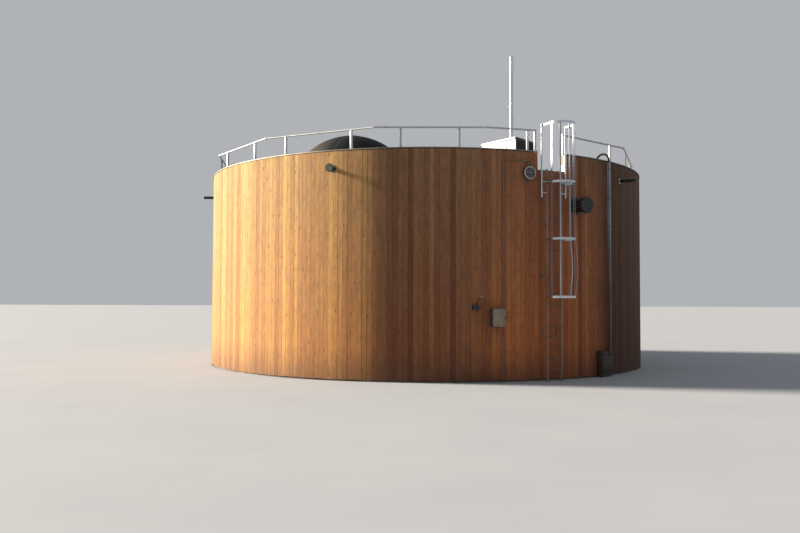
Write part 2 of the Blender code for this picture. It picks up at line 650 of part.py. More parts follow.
def wall_lamp():
    """The round lamp beside the ladder's head: a drum on a square foot, and its glass."""
    foot_width, foot_depth = LAMP_FOOT
    back = CLAD_RADIUS + GAP
    front = back + foot_depth + LAMP_DEPTH
    drum = rod("lamp_housing", place(LAMP_ANGLE, back + foot_depth, LAMP_HEIGHT),
               place(LAMP_ANGLE, front, LAMP_HEIGHT), LAMP_DIAMETER, LAMP_GREY, roughness=0.5)
    foot = bmesh.new()
    size = Matrix.Diagonal((foot_width, 2 * foot_depth, foot_width, 1))
    bmesh.ops.create_cube(foot, size=1.0, matrix=frame_at(LAMP_ANGLE, back + foot_depth, LAMP_HEIGHT) @ size)
    combine(drum, tool("lamp_foot", to_mesh(foot, "lamp_foot")), "UNION")
    rod("lamp_glass", place(LAMP_ANGLE, front + GAP, LAMP_HEIGHT),
        place(LAMP_ANGLE, front + GAP + LAMP_RING, LAMP_HEIGHT), LAMP_DIAMETER - 2 * LAMP_RING,
        LAMP_GLASS, roughness=0.15)


def probe():
    """The dark probe head low on the wall, with the cable that goes up to its gland in the boards."""
    depth, height = PROBE_SIZE[1:]
    block("probe_head", frame_at(PROBE_ANGLE, CLAD_RADIUS + GAP + depth / 2, PROBE_HEIGHT), PROBE_SIZE,
          DARK_PLASTIC)
    radius = CLAD_RADIUS + 2 * GAP + PROBE_CABLE / 2
    head_top = PROBE_HEIGHT + height / 2
    start = place(PROBE_ANGLE, radius, head_top + GAP)
    end = place(PROBE_ANGLE + PROBE_GLAND_STEP, radius, head_top + PROBE_GLAND_RISE)
    rise = Vector((0, 0, PROBE_CABLE * 2))
    points = [start, start + rise, start.lerp(end, 0.5) + rise, end]
    tube("probe_cable", points, PROBE_CABLE, DARK_PLASTIC)


def pipe_stub(name, angle, z, diameter, length, collar, flange, colour):
    """A short pipe out of the boards, with a collar on them, and its blank end flange."""
    collar_diameter, collar_depth = collar
    flange_diameter, flange_depth = flange
    start = CLAD_RADIUS + GAP
    pipe_end = start + length - flange_depth - GAP
    item = rod(name, place(angle, start, z), place(angle, pipe_end, z), diameter, colour, roughness=0.6)
    ring = bmesh.new()
    add_rod(ring, place(angle, start, z), place(angle, start + collar_depth, z), collar_diameter, 24)
    combine(item, tool(name + "_collar", to_mesh(ring, name + "_collar")), "UNION")
    rod(name + "_flange", place(angle, pipe_end + GAP, z), place(angle, pipe_end + GAP + flange_depth, z),
        flange_diameter, GALVANISED, roughness=0.5, metallic=0.8)


def rain_spouts():
    """The spouts that carry rain from the roof out past the boards."""
    for index, angle in enumerate(SPOUT_ANGLES):
        name = "rain_spout_%d" % (index + 1)
        start = CLAD_RADIUS + GAP
        item = rod(name, place(angle, start, SPOUT_HEIGHT), place(angle, start + SPOUT_LENGTH, SPOUT_HEIGHT),
                   SPOUT_DIAMETER, DARK_PLASTIC, sides=16)
        bore = bmesh.new()
        add_rod(bore, place(angle, start + SPOUT_WALL, SPOUT_HEIGHT),
                place(angle, start + SPOUT_LENGTH + SPOUT_DIAMETER, SPOUT_HEIGHT),
                SPOUT_DIAMETER - 2 * SPOUT_WALL, 16)
        combine(item, tool(name + "_bore", to_mesh(bore, name + "_bore")), "DIFFERENCE")


def cable_run():
    """The ground cabinet, the duct beside it up the boards and the hose over the parapet onto the roof."""
    width, depth, height = CABINET_SIZE
    block("ground_cabinet", frame_at(CABINET_ANGLE, CLAD_RADIUS + GAP + depth / 2, height / 2), CABINET_SIZE,
          DARK_PAINT)
    duct_width, duct_depth = DUCT_SIZE
    block("cable_duct", frame_at(DUCT_ANGLE, CLAD_RADIUS + GAP + duct_depth / 2, DUCT_TOP / 2),
          (duct_width, duct_depth, DUCT_TOP), GALVANISED, roughness=0.45, metallic=0.8)
    outer = CLAD_RADIUS + GAP + duct_depth / 2
    steps = 10
    points = [place(DUCT_ANGLE, outer, DUCT_TOP + GAP)]
    for index in range(steps + 1):
        turn = radians(180 * index / steps)
        points.append(place(DUCT_ANGLE, outer - HOSE_RADIUS + HOSE_RADIUS * cos(turn),
                            DUCT_TOP + HOSE_SOCKET + HOSE_RADIUS * sin(turn)))
    points.append(place(DUCT_ANGLE, outer - 2 * HOSE_RADIUS, ROOF_TOP + GAP))
    tube("roof_hose", points, HOSE_DIAMETER, DARK_PLASTIC)


clear_scene()
DIGESTER = collection("biogas_digester")
CUTTERS = collection("cutters")
tank()
coat()
coping()
ladder()
cage()
exit_posts()
guard_rail()
gas_dome()
roof_housing()
vent_stack()
junction_box()
wall_lamp()
probe()
pipe_stub("transfer_pipe", TRANSFER_ANGLE, TRANSFER_HEIGHT, TRANSFER_DIAMETER, TRANSFER_LENGTH,
          TRANSFER_COLLAR, TRANSFER_FLANGE, DARK_PLASTIC)
pipe_stub("gas_pipe", GAS_ANGLE, GAS_HEIGHT, GAS_DIAMETER, GAS_LENGTH, GAS_COLLAR, GAS_FLANGE,
          DARK_PAINT)
rain_spouts()
cable_run()
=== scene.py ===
# The looks of a biogas digester: a round concrete tank behind upright larch boards, with a caged
# ladder, a guard rail, and a gas dome, a machine housing and a vent pipe on its flat roof.
# Metres, +Z up. Angles are degrees about the tank's axis, from -Y and positive towards +X.
import bpy
import bmesh
import random
from math import atan2, cos, degrees, hypot, pi, radians, sin, sqrt
from mathutils import Matrix, Vector


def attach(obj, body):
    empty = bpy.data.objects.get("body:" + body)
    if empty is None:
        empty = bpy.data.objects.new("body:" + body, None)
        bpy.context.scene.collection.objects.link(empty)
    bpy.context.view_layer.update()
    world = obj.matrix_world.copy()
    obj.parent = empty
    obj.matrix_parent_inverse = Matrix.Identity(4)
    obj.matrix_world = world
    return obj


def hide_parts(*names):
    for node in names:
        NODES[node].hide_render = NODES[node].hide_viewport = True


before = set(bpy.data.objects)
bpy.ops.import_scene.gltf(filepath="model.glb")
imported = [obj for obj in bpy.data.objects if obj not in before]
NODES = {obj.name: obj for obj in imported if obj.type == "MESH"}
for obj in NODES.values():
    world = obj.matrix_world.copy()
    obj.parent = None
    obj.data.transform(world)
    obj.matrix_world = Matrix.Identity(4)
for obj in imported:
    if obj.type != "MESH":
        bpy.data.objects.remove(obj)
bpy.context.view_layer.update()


random.seed(7)

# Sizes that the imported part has
CLAD_RADIUS = 7.05
CONCRETE_RADIUS = 6.80
ROOF_TOP = 5.50
RIM_HEIGHT = 6.00
CLAD_TOP = 5.97
FIRST_SEAM = -4.1
CLAD_PANELS = 6
PANEL_SPAN = 360 / CLAD_PANELS
NOTCH = (22.9575, 30.7025)        # the two edges of the parapet's gap
RIM_SPAN = 360 - (NOTCH[1] - NOTCH[0])
LADDER_ANGLE = 25.9
LADDER_SPACING = 0.43
LADDER_ARMS = (1.30, 2.70, 4.14)
STANDOFF = 0.20
HOOP_WIDTH = 0.70
HOOP_REACH = 0.33
HOOP_HEIGHTS = (2.15, 3.63, 5.09, 6.61)
HOOP_BAR = (0.006, 0.060)         # thickness, width
STRIP_BAR = (0.008, 0.040)
STRIP_TURNS = tuple(180 / 13 * facet for facet in (-6, -3, 0, 3, 6))
STRIP_BOW = 0.086                 # of the front strip, at the middle of the lowest bay
EXIT_SPACING = 0.757
EXIT_BRACKETS = (4.88, 5.17)
EXIT_FOOT = 4.755
RAIL_RADIUS = 6.95               # at its bends
RAIL_END_RADII = (7.00, 6.83)    # and where it stops beside the ladder, left and right
RAIL_TOP = 6.574
RAIL_DIAMETER = 0.048
POST_SIDE = 0.056
POST_INSET = 5.6
END_INSETS = (0.30, 2.05)
POST_FOOT = (0.08, 0.010)        # side, height
RAIL_ENDS = (22.92, 31.1 - 360)
FRONT_BENDS = (11.3, -12.6, -41.3, -69.1)
LAST_BEND = 55.3 - 360
BACK_PANELS = 8
RAIL_RUN_PANELS = (4, 3, 3, 3)
DOME_CENTRE = (-2.40, -1.50)
DOME_CURVE = 2.10
DOME_TOP = 7.35
HOUSING_CORNER = (2.56, -3.80)
HOUSING_SIDES = (1.30, 0.97)     # left, right
HOUSING_TOP = 6.93
HOUSING_FALL = 0.05
STACK_PLACE = (2.70, -2.00)
STACK_TOP = 9.84
BOX_ANGLE = 13.15
BOX_SIZE = (0.33, 0.30, 0.46)
BOX_BOTTOM = 1.42
CONDUIT_ANGLE = 14.9
LAMP_ANGLE = 20.6
LAMP_HEIGHT = 5.39
PROBE_ANGLE = 8.9
PROBE_HEIGHT = 1.90
SPOUT_ANGLES = (50.8, 124.5, 198.3, 272.0)
CABINET_ANGLE = 42.0
CABINET_SIZE = (0.50, 0.20, 0.70)
DUCT_ANGLE = 44.85
DUCT_TOP = 5.95
HOSE_DIAMETER = 0.059
HOSE_RADIUS = 0.195              # of its bend over the parapet
HOSE_SOCKET = 0.055

# Sizes of the finer pieces
BOARDS_A_PANEL = 55
BOARD_GAP = 0.003
BOARD_THICKNESS = 0.024
SCREW_ROWS = (0.35, 1.20, 2.05, 2.90, 3.75, 4.60, 5.45)
RUNGS = 19
RUNG_PITCH = 0.28
FIRST_RUNG = 0.30
CONDUIT_DIAMETER = 0.025
CONDUIT_TURN = 5.72               # height of the stretch that runs across to the lamp
DOME_GORES = 18
ROUND_STEP = 11.25                # degrees to a step round the vent pipe
ARC_STEP = 1.5                    # and along the rim
TOUCH = 0.0003                    # the gap between pieces that rest on each other
WALL_FACE = CLAD_RADIUS + TOUCH   # where pieces on the boards start
ROOF_FACE = ROOF_TOP + TOUCH      # and the ones on the roof

# The light and the camera, as fitted to the photograph
SUN_ANGLE = -101
SUN_HEIGHT = 20                   # degrees above the ground
SUN_WIDTH = 10                    # degrees across: hazy, so that shadows go soft
SUN_POWER = 14
SKY_POWER = 0.5
CAMERA_PLACE = (-0.84, -27.32, 2.19)
CAMERA_PITCH = 92.11
CAMERA_ROLL = 0.18
LENS = 36                         # in mm, on a sensor as wide

UP = Vector((0, 0, 1))


# Places

def place(angle, radius, z):
    """A point by its angle about the tank's axis, its distance from it and its height."""
    return Vector((radius * sin(radians(angle)), -radius * cos(radians(angle)), z))


def axes(x, y, z):
    """The rotation that has three directions as its axes."""
    return Matrix((x, y, z)).transposed().to_4x4()


def frame_at(angle, radius, z):
    """A frame whose X runs round the tank, Y away from it and Z up."""
    out = place(angle, 1, 0)
    return Matrix.Translation(place(angle, radius, z)) @ axes(Vector((-out.y, out.x, 0)), out, UP)


def shift(x, y, z):
    return Matrix.Translation((x, y, z))


def swing(angle, axis="Z"):
    """A rotation by some degrees about one of a frame's own axes."""
    return Matrix.Rotation(radians(angle), 4, axis)


OUTWARDS = swing(-90, "X")        # turns a frame's Z to its Y, which points outwards


def wall_frame(angle, z):
    """A frame on the boards whose Z points away from the tank."""
    return frame_at(angle, WALL_FACE, z) @ OUTWARDS


# Shapes, each added to a mesh that is being made

def meshes(count):
    return [bmesh.new() for _ in range(count)]


def line_edges(verts, axis, across):
    """The edges of some verts that run along an axis, or the ones that run across it."""
    found = list(dict.fromkeys(edge for vert in verts for edge in vert.link_edges))
    along = axis.normalized()
    kept = []
    for edge in found:
        way = (edge.verts[1].co - edge.verts[0].co).normalized()
        if (abs(way.dot(along)) < 0.5) == across:
            kept.append(edge)
    return kept


def ease(bm, edges, size, segments=1):
    """Bevels some edges by a size."""
    bmesh.ops.bevel(bm, geom=edges, offset=size, segments=segments, profile=0.5, affect="EDGES", material=-1)


def slab(bm, matrix, size, edge=0.0, segments=1):
    """A box about the middle of a frame, with its edges eased."""
    made = bmesh.ops.create_cube(bm, size=1, matrix=matrix @ Matrix.Diagonal((*size, 1)))["verts"]
    if edge:
        ease(bm, list(dict.fromkeys(e for v in made for e in v.link_edges)), edge, segments)


def bar(bm, start, end, diameter, sides=16, edge=0.0, far=None):
    """A round bar between two points, with the rims of its ends eased."""
    start, end = Vector(start), Vector(end)
    way = end - start
    middle = Matrix.Translation((start + end) / 2) @ way.to_track_quat("Z", "Y").to_matrix().to_4x4()
    far = diameter if far is None else far
    made = bmesh.ops.create_cone(bm, cap_ends=True, segments=sides, radius1=diameter / 2, radius2=far / 2,
                                 depth=way.length, matrix=middle)["verts"]
    if edge:
        ease(bm, line_edges(made, way, True), edge)


def rod(bm, matrix, start, end, *shape):
    """The same between two points of a frame."""
    bar(bm, matrix @ Vector(start), matrix @ Vector(end), *shape)


def disc(bm, matrix, diameter, low, high, sides=16, edge=0.0):
    """A round piece on a frame's Z axis, between two heights along it."""
    rod(bm, matrix, (0, 0, low), (0, 0, high), diameter, sides, edge)


def bolt(bm, matrix, size):
    """A hexagon head on its washer, on a frame's Z axis."""
    disc(bm, matrix, size * 1.9, 0, size * 0.15, 12)
    disc(bm, matrix, size * 1.3, size * 0.15, size * 0.7, 6)


def sweep(bm, section, frames, closed=False):
    """Carries a flat section along a row of frames. Its points are in each frame's X and Y."""
    corners = [bm.verts.new(frames[0] @ Vector((x, y, 0))) for x, y in section]
    first = face = bm.faces.new(corners)
    for before, after in zip(frames, frames[1:]):
        grown = bmesh.ops.extrude_face_region(bm, geom=[face])["geom"]
        face = next(part for part in grown if isinstance(part, bmesh.types.BMFace))
        bmesh.ops.transform(bm, matrix=after @ before.inverted(), verts=face.verts)
    if closed:
        bmesh.ops.bridge_loops(bm, edges=list(first.edges) + list(face.edges))
        bmesh.ops.delete(bm, geom=[first, face], context="FACES_ONLY")


def path(points, up=UP):
    """Frames along a line of points: Z runs along it, and Y is as near up as it can be."""
    frames = []
    last = len(points) - 1
    for index, point in enumerate(points):
        along = (Vector(points[min(index + 1, last)]) - Vector(points[max(index - 1, 0)])).normalized()
        side = Vector(up).cross(along).normalized()
        frames.append(Matrix.Translation(point) @ axes(side, along.cross(side), along))
    return frames


def ring_points(diameter, sides):
    """A circle as a flat section."""
    turns = [2 * pi * index / sides for index in range(sides)]
    return [(diameter / 2 * cos(turn), diameter / 2 * sin(turn)) for turn in turns]


def hoop(bm, profile, matrix, sides):
    """Carries a closed profile of (radius, height) once round a frame's Z axis."""
    sweep(bm, profile, [matrix @ swing(360 * index / sides) @ swing(90, "X") for index in range(sides)], True)


def tube(bm, points, diameter, sides=12, up=UP):
    """A round tube along a line of points."""
    sweep(bm, ring_points(diameter, sides), path(points, up))


def oblong(width, height):
    """A rectangle about its middle, as a flat section."""
    x, y = width / 2, height / 2
    return [(-x, -y), (x, -y), (x, y), (-x, y)]


def rectangle(inner, outer, low, high):
    """A rectangle between two radii and two heights, as a profile to turn."""
    return [(inner, low), (outer, low), (outer, high), (inner, high)]


def turned(bm, profile, start, end, step, centre=(0, 0)):
    """Spins a closed profile of (radius, height) about an upright axis; a whole turn is joined up."""
    middle = Vector((*centre, 0))
    whole = end - start >= 360
    corners = [bm.verts.new(middle + place(start, r, z)) for r, z in profile]
    face = bm.faces.new(corners)
    geom = list(face.edges) + corners
    if whole:
        bmesh.ops.delete(bm, geom=[face], context="FACES_ONLY")
    else:
        geom.append(face)
    bmesh.ops.spin(bm, geom=geom, cent=middle, axis=(0, 0, 1), angle=radians(end - start),
                   steps=max(1, round((end - start) / step)), use_merge=whole)


def round_bend(corner, first, last, radius):
    """Points of a round bend in place of the corner between two straight stretches."""
    start = corner + (first - corner).normalized() * radius
    end = corner + (last - corner).normalized() * radius
    shares = [index / 8 for index in range(9)]
    return [start.lerp(corner, share).lerp(corner.lerp(end, share), share) for share in shares]


def finish(name, parts, replaces=(), angle=35):
    """Joins meshes, each with its material, into one piece of the digester that rides on its body."""
    whole = bmesh.new()
    mesh = bpy.data.meshes.new(name)
    for index, (bm, material) in enumerate(parts):
        bmesh.ops.remove_doubles(bm, verts=bm.verts, dist=0.00002)
        bmesh.ops.recalc_face_normals(bm, faces=bm.faces)
        for face in bm.faces:
            face.material_index = index
        part = bpy.data.meshes.new("part")
        bm.to_mesh(part)
        bm.free()
        whole.from_mesh(part)
        bpy.data.meshes.remove(part)
        mesh.materials.append(material)
    whole.to_mesh(mesh)
    whole.free()
    mesh.shade_smooth()
    mesh.set_sharp_from_angle(angle=radians(angle))
    piece = bpy.data.objects.new(name, mesh)
    bpy.context.scene.collection.objects.link(piece)
    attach(piece, "root")
    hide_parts(*replaces)
    return piece


# Materials

def linear(code):
    """An sRGB hex value as a linear colour."""
    parts = [int(code[i:i + 2], 16) / 255 for i in (0, 2, 4)]
    return [c / 12.92 if c <= 0.04045 else ((c + 0.055) / 1.055) ** 2.4 for c in parts] + [1]


def add(tree, kind, settings=None, sockets=None):
    """Adds a shader node with its settings, and its sockets as values or as links from other nodes."""
    node = tree.nodes.new("ShaderNode" + kind)
    for key, value in (settings or {}).items():
        if key == "stops":
            elements = node.color_ramp.elements
            while len(elements) < len(value):
                elements.new(1)
            for stop, (position, colour) in zip(elements, value):
                stop.position = position
                stop.color = linear(colour) if isinstance(colour, str) else (colour, colour, colour, 1)
        else:
            setattr(node, key, value)
    for key, value in (sockets or {}).items():
        if isinstance(value, bpy.types.NodeSocket):
            tree.links.new(value, node.inputs[key])
        else:
            node.inputs[key].default_value = value
    return node


def new_material(name, **values):
    """A material of that name, its tree, its shader and the place in the object's own coordinates."""
    material = bpy.data.materials.new(name)
    material.use_nodes = True
    tree = material.node_tree
    shader = tree.nodes["Principled BSDF"]
    for key, value in values.items():
        shader.inputs[key.replace("_", " ")].default_value = value
    where = add(tree, "TexCoord").outputs["Object"]
    return material, tree, shader, where


def noise(tree, where, size_mm, detail=3.0, stretch=(1, 1, 1), roughness=0.55):
    """Noise whose features are about a size in millimetres, drawn out along an axis by a stretch."""
    scale = [1000 / size_mm / part for part in stretch]
    spot = add(tree, "Mapping", {}, {"Vector": where, "Scale": scale}).outputs[0]
    return add(tree, "TexNoise", {}, {"Vector": spot, "Scale": 1.0, "Detail": detail,
                                      "Roughness": roughness}).outputs["Fac"]


def ramp(tree, factor, stops):
    return add(tree, "ValToRGB", {"stops": stops}, {"Fac": factor}).outputs["Color"]


def mixed(tree, factor, first, second, blend="MIX"):
    return add(tree, "Mix", {"data_type": "RGBA", "blend_type": blend},
               {0: factor, 6: first, 7: second}).outputs[2]


def darkened(tree, base, strength, factor, stops):
    """A colour times a ramp of greys or colours, by a strength."""
    return mixed(tree, strength, base, ramp(tree, factor, stops), "MULTIPLY")


def stained(tree, base, factor, stops, code):
    """A colour that gives way to another where a ramp rises."""
    return mixed(tree, ramp(tree, factor, stops), base, linear(code))


def math_node(tree, operation, *values, **settings):
    sockets = dict(enumerate(values))
    return add(tree, "Math", {"operation": operation, **settings}, sockets).outputs[0]


def share_of(tree, value, low, high, least=0.0, most=1.0):
    """Where a value stands between two others, from 0 to 1 or between two other ends."""
    return add(tree, "MapRange", {}, {"Value": value, "From Min": low, "From Max": high,
                                      "To Min": least, "To Max": most}).outputs[0]


def part_of(tree, where, axis):
    """One coordinate of a place."""
    return add(tree, "SeparateXYZ", {}, {"Vector": where}).outputs[axis]


def cells(tree, where, scale, output):
    """Voronoi cells, with a scale for each axis in cells to the metre."""
    spot = add(tree, "Mapping", {}, {"Vector": where, "Scale": scale}).outputs[0]
    return add(tree, "TexVoronoi", {}, {"Vector": spot, "Scale": 1.0}).outputs[output]


def paint(tree, shader, colour, gloss=None):
    """Puts a colour and a roughness on the shader."""
    tree.links.new(colour, shader.inputs["Base Color"])
    if gloss:
        tree.links.new(ramp(tree, *gloss), shader.inputs["Roughness"])


def bump(tree, shader, height, depth_mm, strength=1.0):
    """Relief on the shader, with its depth in millimetres."""
    node = add(tree, "Bump", {}, {"Height": height, "Distance": depth_mm / 1000, "Strength": strength})
    tree.links.new(node.outputs[0], shader.inputs["Normal"])


def rough_sawn_larch():
    """Larch boards, rough sawn and left to weather, with painted sunlight and shade across them: gold at the
    left, bleached and with painted sunlight on it; red brown low down and to the right, in painted shade;
    dark grey brown in the deepest painted shade at the far right. Each board has its own tone, its grain runs
    upright."""
    material, tree, shader, where = new_material("rough_sawn_larch", Roughness=0.85)
    tone, own = (add(tree, "Attribute", {"attribute_name": name}).outputs["Fac"]
                 for name in ("board_tone", "board_own"))
    offset = add(tree, "CombineXYZ", {}, {"Z": own}).outputs[0]
    lifted = add(tree, "VectorMath", {"operation": "ADD"}, {0: where, 1: offset}).outputs[0]
    streaks = noise(tree, lifted, 26, 4, (1, 1, 60), 0.65)
    fibres = noise(tree, lifted, 6, 3, (1, 1, 60), 0.6)
    mottle = noise(tree, lifted, 110, 4, (1, 1, 2.5), 0.6)
    clouds = noise(tree, where, 900, 3, (1, 1, 1.6))
    rise = part_of(tree, where, "Z")
    drift = math_node(tree, "MULTIPLY_ADD", clouds, 0.6, -0.3)
    # The side mask: 0 at the painted sunlit left, 1 in the painted shade at the right, its line drifting in
    # clouds
    side = share_of(tree, math_node(tree, "ADD", part_of(tree, where, "X"), drift), -7.0, 7.0)
    # From the left of the tank to the right, painted sunlight giving way to painted shade: the colours up at
    # the rim, and the ones down at the foot
    places = (0.0, 0.34, 0.42, 0.47, 0.57, 0.64, 0.73, 0.81, 0.87)
    tops = ("C8B17B", "CBAA78", "92735A", "9D7C61", "9D7C61", "956C56", "A77459", "8F6A53", "694F3F")
    feet = ("D1A366", "D59D61", "925D3C", "9A623F", "9A623F", "C77E4F", "CB7C4B", "BC744A", "66422E")
    high, low = (ramp(tree, side, list(zip(places, row))) for row in (tops, feet))
    weather = math_node(tree, "ADD", share_of(tree, rise, 0.6, 6.3), drift, use_clamp=True)
    own_tones = [(0.0, "AE947A"), (0.3, "C9B29A"), (0.6, "DDCBB1"), (0.85, "EEDFBB"), (1.0, "FAEECB")]
    base = darkened(tree, mixed(tree, weather, low, high), 0.9, tone, own_tones)
    base = darkened(tree, base, 0.62, streaks, [(0.3, 0.5), (0.62, 1.0)])
    base = darkened(tree, base, 0.4, fibres, [(0.3, 0.6), (0.7, 1.0)])
    base = darkened(tree, base, 0.5, mottle, [(0.35, 0.55), (0.6, 1.0)])
    knots = cells(tree, lifted, (7.4, 7.4, 2.4), "Distance")
    base = mixed(tree, ramp(tree, knots, [(0.08, 0.3), (0.15, 1.0)]), linear("4A3020"), base)
    splash = share_of(tree, rise, 0.05, 0.9, 0.45, 1.0)
    paint(tree, shader, mixed(tree, splash, linear("3A2A20"), base))
    bump(tree, shader, math_node(tree, "ADD", fibres, streaks), 1.2, 0.7)
    return material


def worn(name, light, dark, patch_mm, grain_mm, depth_mm, roughness, streak=1.0, metallic=0.0, **values):
    """A surface that goes between two colours in soft patches, with a fine grain in gloss and relief."""
    material, tree, shader, where = new_material(name, Metallic=metallic, **values)
    patches = noise(tree, where, patch_mm, 4, (1, 1, streak))
    grain = noise(tree, where, grain_mm, 3)
    low, high = roughness
    colour = ramp(tree, patches, [(0.3, dark), (0.7, light)])
    paint(tree, shader, colour, (grain, [(0.25, low), (0.75, high)]))
    bump(tree, shader, grain, depth_mm)
    return material


def hot_dip_zinc():
    """Hot-dip galvanised steel: a dull grey skin of zinc crystals about 12 mm across, each its own grey."""
    material, tree, shader, where = new_material("hot_dip_galvanised_steel", Metallic=0.8)
    crystals = cells(tree, where, (85, 85, 85), "Color")
    grey = add(tree, "RGBToBW", {}, {0: crystals}).outputs[0]
    stains = noise(tree, where, 220, 4, (1, 1, 3))
    base = ramp(tree, grey, [(0.2, "A0A4A8"), (0.8, "BCC0C4")])
    base = stained(tree, base, stains, [(0.45, 0.0), (0.75, 0.5)], "7C7A75")
    paint(tree, shader, base, (grey, [(0.2, 0.38), (0.8, 0.55)]))
    bump(tree, shader, grey, 0.2, 0.5)
    return material


def cast_concrete():
    """Cast concrete, floated and weathered: pale grey with damp clouds, dark stains and 3 mm grit."""
    material, tree, shader, where = new_material("cast_concrete", Roughness=0.9)
    clouds = noise(tree, where, 1400, 5)
    stains = noise(tree, where, 260, 5, (1, 1, 2.5), 0.65)
    grit = noise(tree, where, 3, 2)
    base = ramp(tree, clouds, [(0.3, "77736A"), (0.55, "918D83"), (0.8, "A7A399")])
    base = stained(tree, base, stains, [(0.5, 0.0), (0.78, 0.55)], "5E5B50")
    paint(tree, shader, darkened(tree, base, 0.3, grit, [(0.3, 0.6), (0.7, 1.0)]))
    bump(tree, shader, grit, 0.8, 0.6)
    return material


def coated_fabric():
    """PVC-coated polyester, dark slate with the 6 mm weave of its threads; painted sunlight turns its left
    side brown grey, and painted shade turns its right side nearly black."""
    material, tree, shader, where = new_material("pvc_coated_fabric", Specular_IOR_Level=0.1)
    dust = noise(tree, where, 700, 5, (1, 1, 1.4), 0.6)
    fine = noise(tree, where, 60, 4)
    # 0 at the left of the dome, 1 at its right: painted sunlight giving way to painted shade
    painted_light_side = share_of(tree, part_of(tree, where, "X"), -4.3, -1.2)
    base = ramp(tree, dust, [(0.3, "14191D"), (0.55, "1A1F24"), (0.8, "262B30")])
    base = stained(tree, base, fine, [(0.5, 0.0), (0.8, 0.2)], "33383A")
    # Painted sunlight: the left of the dome brown grey
    base = stained(tree, base, painted_light_side, [(0.05, 0.55), (0.5, 0.0)], "6A5B48")
    # Painted shade: the right of the dome nearly black
    base = stained(tree, base, painted_light_side, [(0.3, 0.0), (0.9, 0.8)], "05080B")
    paint(tree, shader, base, (dust, [(0.3, 0.55), (0.8, 0.7)]))
    threads = [add(tree, "TexWave", {"bands_direction": way}, {"Vector": where, "Scale": 52.0}).outputs["Fac"]
               for way in ("Z", "DIAGONAL")]
    bump(tree, shader, math_node(tree, "MAXIMUM", *threads), 0.3, 0.4)
    return material


def duct_sheet():
    """Painted sheet of the cable duct: a cool light grey at the top, brown over its lower half."""
    material, tree, shader, where = new_material("cool_grey_duct_sheet", Metallic=0.15)
    patches = noise(tree, where, 300, 4, (1, 1, 4))
    grain = noise(tree, where, 3, 3)
    upper_half_colour = ramp(tree, patches, [(0.3, "777B84"), (0.7, "8F949E")])
    lower_half_colour = ramp(tree, patches, [(0.3, "564537"), (0.7, "6A5646")])
    base = mixed(tree, share_of(tree, part_of(tree, where, "Z"), 2.4, 4.4), lower_half_colour, upper_half_colour)
    paint(tree, shader, base, (grain, [(0.25, 0.45), (0.75, 0.6)]))
    bump(tree, shader, grain, 0.06)
    return material


LARCH = rough_sawn_larch()
ZINC = hot_dip_zinc()
CONCRETE = cast_concrete()
MEMBRANE = coated_fabric()
# Rolled aluminium sheet, left bare: pale, dulled by rain marks that run down
SHEET = worn("rolled_aluminium_sheet", "B9BDC0", "9A9FA3", 180, 6, 0.1, (0.34, 0.5), 4, 0.85)
# Stainless steel strip and tube, brushed: brighter and cooler than the zinc
BRIGHT = worn("brushed_stainless_steel", "D5D9DC", "B4BABF", 120, 2, 0.05, (0.15, 0.24), 6, 0.95)
# Stainless strip left satin, for the cage's uprights: a soft blue grey that only glints at its edges
SATIN_STRIP = worn("satin_stainless_strip", "A3A9B3", "8D939D", 140, 3, 0.05, (0.34, 0.46), 6, 1.0)
# Stainless pipe, satin and clean: an even grey with one bright line down the sunny side
SATIN_PIPE = worn("satin_stainless_pipe", "DDE1E8", "CDD2DA", 200, 3, 0.04, (0.22, 0.32), 6, 1.0)
# Zinc sheet folded for the rim: a dull grey skin with long darker runs
RIM_SHEET = worn("weathered_zinc_sheet", "8E8B82", "6E6B63", 240, 6, 0.1, (0.52, 0.68), 3, 0.75)
# Conduit that has gone dull, a warm grey a little lighter than the boards
AGED_STEEL = worn("aged_steel_conduit", "776A60", "5E544C", 140, 3, 0.08, (0.55, 0.7), 4, 0.2)
# Steel of the ladder under years of wood dust: brown grey, matt
DUSTY_STEEL = worn("dusty_ladder_steel", "988B7F", "72665A", 260, 3, 0.08, (0.55, 0.7), 3, 0.25)
# The same where feet and hands have taken the zinc off: nearly as dark as the boards
RUNG_STEEL = worn("worn_rung_steel", "745C4B", "554335", 90, 3, 0.08, (0.5, 0.65), 1, 0.2)
DUCT_SHEET = duct_sheet()
# Steel screws in the boards, stained dark
SCREWS = worn("stained_steel_screws", "3A322B", "241E1A", 8, 2, 0.05, (0.55, 0.7), 1, 0.4)
# Zinc-plated bolts: small bright heads
BOLTS = worn("zinc_plated_bolts", "C2C4C2", "94958F", 8, 2, 0.05, (0.3, 0.45), 1, 0.9)
# Breather felt behind the boards: black and matt, so the joints read dark; the band of it that shows under
# the coping is painted shade for the coping's shadow
FELT = worn("black_breather_felt", "17171A", "0C0C0E", 60, 3, 0.3, (0.85, 0.95))
# Powder coat on sheet steel: satin white, with a little dust in soft patches
WHITE = worn("white_powder_coat", "E9EAE8", "D5D6D2", 350, 2.5, 0.06, (0.34, 0.46), 2.5)
# The same in near black, on louvres
BLACK_COAT = worn("black_powder_coat", "1C1E22", "121317", 90, 2.5, 0.06, (0.4, 0.55))
# Dark umber paint on the sheet steel of the cabinet, faded in patches
UMBER = worn("umber_enamel", "3E352C", "2B241E", 160, 3, 0.08, (0.45, 0.6), 2)
# Moss-grey paint on the gas pipe
GREEN_GREY = worn("moss_grey_enamel", "3C423B", "2B302A", 160, 3, 0.08, (0.42, 0.58), 2)
# Polyethylene, extruded black: a soft sheen and long faint scuffs
BLACK_PE = worn("black_polyethylene", "1B1C1F", "101114", 90, 2, 0.05, (0.36, 0.52))
# Rubber of cables and glands: black and dull
RUBBER = worn("black_rubber", "101011", "0A0A0B", 30, 2, 0.08, (0.6, 0.75), Specular_IOR_Level=0.15)
